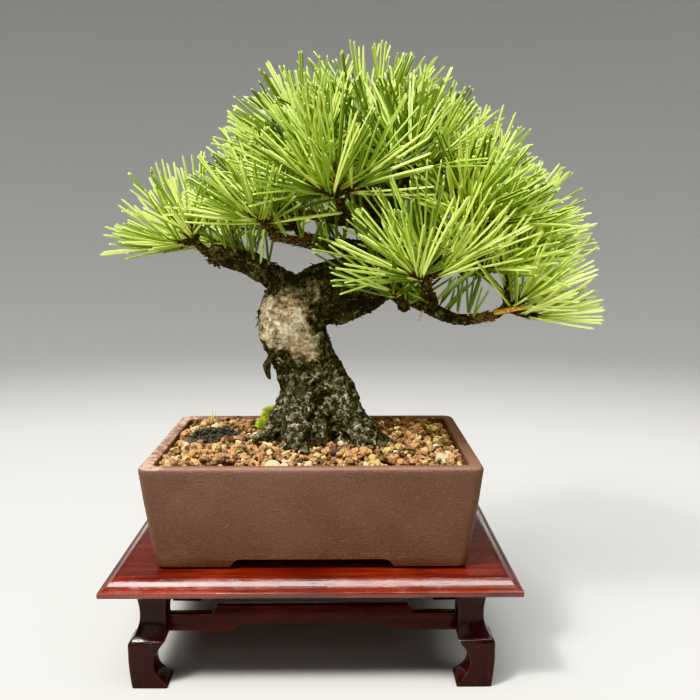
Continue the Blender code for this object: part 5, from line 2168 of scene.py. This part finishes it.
    def build_grains(self) -> None:
        """Builds the loose grains and stones, one piece for each kind."""
        verts, faces = self.ball()
        rng = np.random.default_rng(self.seed)
        stones = self.templates(verts, rng)
        kinds = list(GrainKind)
        shares = np.array([kind.share for kind in kinds])
        laid = []
        for x, y, lift in self.places(rng):
            kind = kinds[rng.choice(len(kinds), p=shares / shares.sum())]
            radius = min(kind.radius * rng.lognormal(0.0, 0.26), 2.2)
            crowded = any(math.hypot(x - a, y - b) < size * 0.9 for a, b, size, _ in self.large)
            if self.in_moss(x, y):
                kind, radius = GrainKind.MOSSY, min(radius, 1.15)
            if not crowded:
                laid.append((x, y, lift, kind, radius))
        laid += [(x, y, 0.25, GrainKind[kind], size) for x, y, size, kind in self.large]
        gathered = {kind: [] for kind in kinds}
        for x, y, lift, kind, radius in laid:
            turn = Matrix.Rotation(rng.uniform(0, FULL_TURN), 3, "Z")
            turn = turn @ Matrix.Rotation(rng.uniform(-0.8, 0.8), 3, "X")
            stone = stones[rng.integers(len(stones))] * radius
            gathered[kind].append(stone @ np.array(turn).T + np.array([x, y, self.height(x, y) + lift]))
        for kind, grains in gathered.items():
            grains = np.array(grains)
            joined = np.arange(len(grains))[:, None, None] * len(verts) + faces[None]
            name = "grains_" + kind.name.lower()
            mesh = joined_mesh(name, grains.reshape(-1, 3), joined.reshape(-1, 4), smooth=False)
            place_piece(mesh, [Grit("grit_" + kind.name.lower(), kind.shade).make()])

    def blades(
        self, name: str, roots: Sequence[Vector], ways: Sequence[Vector], width: float, finish: Material
    ) -> None:
        """Builds small pointed blades as one piece.

        Args:
            name: The piece's name.
            roots: Where each starts.
            ways: The way from each root to its point.
            width: How wide each is at its root.
            finish: Their material.
        """
        verts = []
        for root, way in zip(roots, ways):
            side = way.orthogonal().normalized() * width / 2
            for turn in range(3):
                verts.append(tuple(root + Matrix.Rotation(turn * THIRD_TURN, 3, way) @ side))
            verts.append(tuple(root + way))
        base = np.arange(len(roots))[:, None, None] * 4
        faces = base + np.array([(0, 1, 3), (1, 2, 3), (2, 0, 3), (2, 1, 0)])[None]
        mesh = joined_mesh(name, np.array(verts), faces.reshape(-1, 3), smooth=False)
        place_piece(mesh, [finish])

    def build_moss(self) -> None:
        """Builds the dark fuzz on the hump, the bright moss beside the trunk and a few green sprouts."""
        rng = random.Random(self.seed)
        fuzz, fuzz_ways = [], []
        while len(fuzz) < self.fuzz:
            x = self.mossy[0] + rng.uniform(-14, 14)
            y = self.mossy[1] + rng.uniform(-15, 15)
            if self.in_moss(x, y):
                fuzz.append(Vector((x, y, self.height(x, y) - 0.6)))
                lean = (rng.uniform(-1.3, 1.3), rng.uniform(-1.3, 1.3))
                fuzz_ways.append(Vector((*lean, rng.uniform(1.0, 1.9))))
        self.blades("dark_moss", fuzz, fuzz_ways, 0.5, Leafy("dark_moss", (0.056, 0.056, 0.042), 0.9).make())
        cushion, cushion_ways = [], []
        bm = bmesh.new()
        for place, reach in self.cushions:
            middle = Vector(place)
            ball = bmesh.ops.create_icosphere(bm, subdivisions=3, radius=reach * 0.8)["verts"]
            for vert in ball:
                vert.co = middle + vert.co * (1 + 0.22 * noise.noise(vert.co / 1.6))
            for _ in range(int(reach * reach * 14)):
                out = tilted(UP, math.acos(rng.uniform(-0.2, 1.0)), rng.uniform(0, FULL_TURN))
                cushion.append(middle + out * reach * rng.uniform(0.62, 0.74))
                cushion_ways.append(out * rng.uniform(1.3, 2.2) + Vector((0, 0, 0.4)))
        make_piece(bm, "moss_cushion", [Leafy("moss_body", (0.12, 0.14, 0.02), 0.9).make()])
        moss = Leafy("bright_moss", (0.42, 0.46, 0.065), 0.7).make()
        self.blades("bright_moss", cushion, cushion_ways, 0.75, moss)
        sprouts, leaves = zip(*((Vector(root), Vector(way)) for root, way in self.sprouts))
        self.blades("sprouts", sprouts, leaves, 0.9, Leafy("sprout", (0.42, 0.55, 0.12), 0.5).make())

    def build(self) -> None:
        """Builds the bed, the grains and the moss."""
        self.build_bed()
        self.build_grains()
        self.build_moss()


@dataclass
class Studio:
    """A plain pale floor, soft lights, and a camera where the photograph was taken from."""

    camera_place: Point = (10.2, -365.4, 166.6)
    pitch: float = 7.09
    yaw: float = 0.70
    focal: float = 900.0
    picture: float = 700.0
    sensor: float = 36.0
    floor_flat: float = 0.9
    floor_reach: float = 1.9
    floor_top: float = 2.2
    floor_shade: Colour = (0.42, 0.42, 0.41)
    sky_shade: Colour = (0.82, 0.83, 0.84)
    sky_strength: float = 0.38
    view: str = "Khronos PBR Neutral"
    lights: tuple = (
        ("key", (-0.36, -0.42, 0.76), (0.16, 0.16), 13.0, (1.0, 0.97, 0.91)),
        ("top", (0.10, 0.10, 0.95), (0.40, 0.40), 7.0, (1.0, 0.99, 0.96)),
        ("front", (-0.20, -0.95, 0.45), (0.60, 0.60), 1.5, (1.0, 0.99, 0.97)),
        ("fill", (0.60, -0.55, 0.40), (0.60, 0.60), 1.0, (0.93, 0.96, 1.0)),
        ("strip", (0.0, -0.34, 0.92), (1.50, 0.40), 17.0, (1.0, 0.99, 0.98)),
    )
    aim: Point = (0.0, 0.0, 0.12)
    bend_steps: int = 24
    round_steps: int = 96

    def build(self) -> None:
        """Sets up the floor, the sky, the lights and the camera."""
        self.build_floor()
        self.build_sky()
        for light in self.lights:
            self.build_light(*light)
        self.build_camera()
        bpy.context.scene.view_settings.view_transform = self.view

    def build_floor(self) -> None:
        """Lays a round floor, which bends up into a backdrop on every side."""
        bm = bmesh.new()
        flat, reach, top = self.floor_flat, self.floor_reach, self.floor_top
        radii, heights = [0.0, flat / 2, flat], [0.0, 0.0, 0.0]
        for step in range(1, self.bend_steps + 1):
            turn = step / self.bend_steps * math.pi / 2
            radii.append(flat + (reach - flat) * math.sin(turn))
            heights.append((reach - flat) * (1 - math.cos(turn)))
        places = zip([*radii, reach], [*heights, top])
        line = [bm.verts.new((radius, 0.0, height)) for radius, height in places]
        edges = [bm.edges.new(pair) for pair in zip(line, line[1:])]
        spin = {"axis": (0, 0, 1), "cent": (0, 0, 0), "angle": 2 * math.pi, "steps": self.round_steps}
        bmesh.ops.spin(bm, geom=[*line, *edges], use_merge=True, **spin)
        bmesh.ops.remove_doubles(bm, verts=bm.verts, dist=1e-5)
        bmesh.ops.recalc_face_normals(bm, faces=bm.faces)
        for face in bm.faces:
            face.smooth = True
        mesh = bpy.data.meshes.new("floor")
        bm.to_mesh(mesh)
        bm.free()
        sheet = NodeSheet("pale_floor")
        sheet.set(Base_Color=self.floor_shade, Roughness=0.85)
        mesh.materials.append(sheet.material)
        floor = bpy.data.objects.new("floor", mesh)
        bpy.context.scene.collection.objects.link(floor)

    def build_sky(self) -> None:
        """Sets an even pale surround."""
        world = bpy.data.worlds.new("studio")
        world.use_nodes = True
        background = world.node_tree.nodes["Background"]
        background.inputs["Color"].default_value = (*self.sky_shade, 1.0)
        background.inputs["Strength"].default_value = self.sky_strength
        bpy.context.scene.world = world

    def build_light(self, name: str, place: Point, size: Pair, power: float, shade: Colour) -> None:
        """Hangs one soft light.

        Args:
            name: The light's name.
            place: Where it hangs, in metres from the pot's foot.
            size: Its width and its depth, in metres.
            power: Its power, in watts.
            shade: Its colour.
        """
        light = bpy.data.lights.new(name, "AREA")
        light.shape = "RECTANGLE"
        light.size, light.size_y = size
        light.energy = power
        light.color = shade
        made = bpy.data.objects.new(name, light)
        made.location = MIDDLE + Vector(place)
        aim = MIDDLE + Vector(self.aim) - made.location
        made.rotation_euler = aim.to_track_quat("-Z", "Y").to_euler()
        bpy.context.scene.collection.objects.link(made)

    def build_camera(self) -> None:
        """Places the camera."""
        camera = bpy.data.cameras.new("camera")
        camera.sensor_width = self.sensor
        camera.lens = self.focal / self.picture * self.sensor
        camera.clip_start = 0.01
        made = bpy.data.objects.new("camera", camera)
        made.location = MIDDLE + Vector(self.camera_place) * MM
        made.rotation_euler = (math.radians(90 - self.pitch), 0.0, math.radians(-self.yaw))
        bpy.context.scene.collection.objects.link(made)
        bpy.context.scene.camera = made


def main() -> None:
    """Builds and dresses every sub-assembly."""
    logging.basicConfig(level=logging.INFO, format="%(message)s")
    noise.seed_set(NOISE_SEED)
    finishes = Finishes()
    tree = TreePlan()
    pot = Pot(finishes)
    builders: list[Callable[[], None]] = [
        Stand(finishes).build,
        pot.build,
        Soil(tree, finishes, pot).build,
        Wood(tree, finishes).build,
        Crown(tree, finishes).build,
        Studio().build,
    ]
    for build in builders:
        build()


if __name__ == "__main__":
    main()
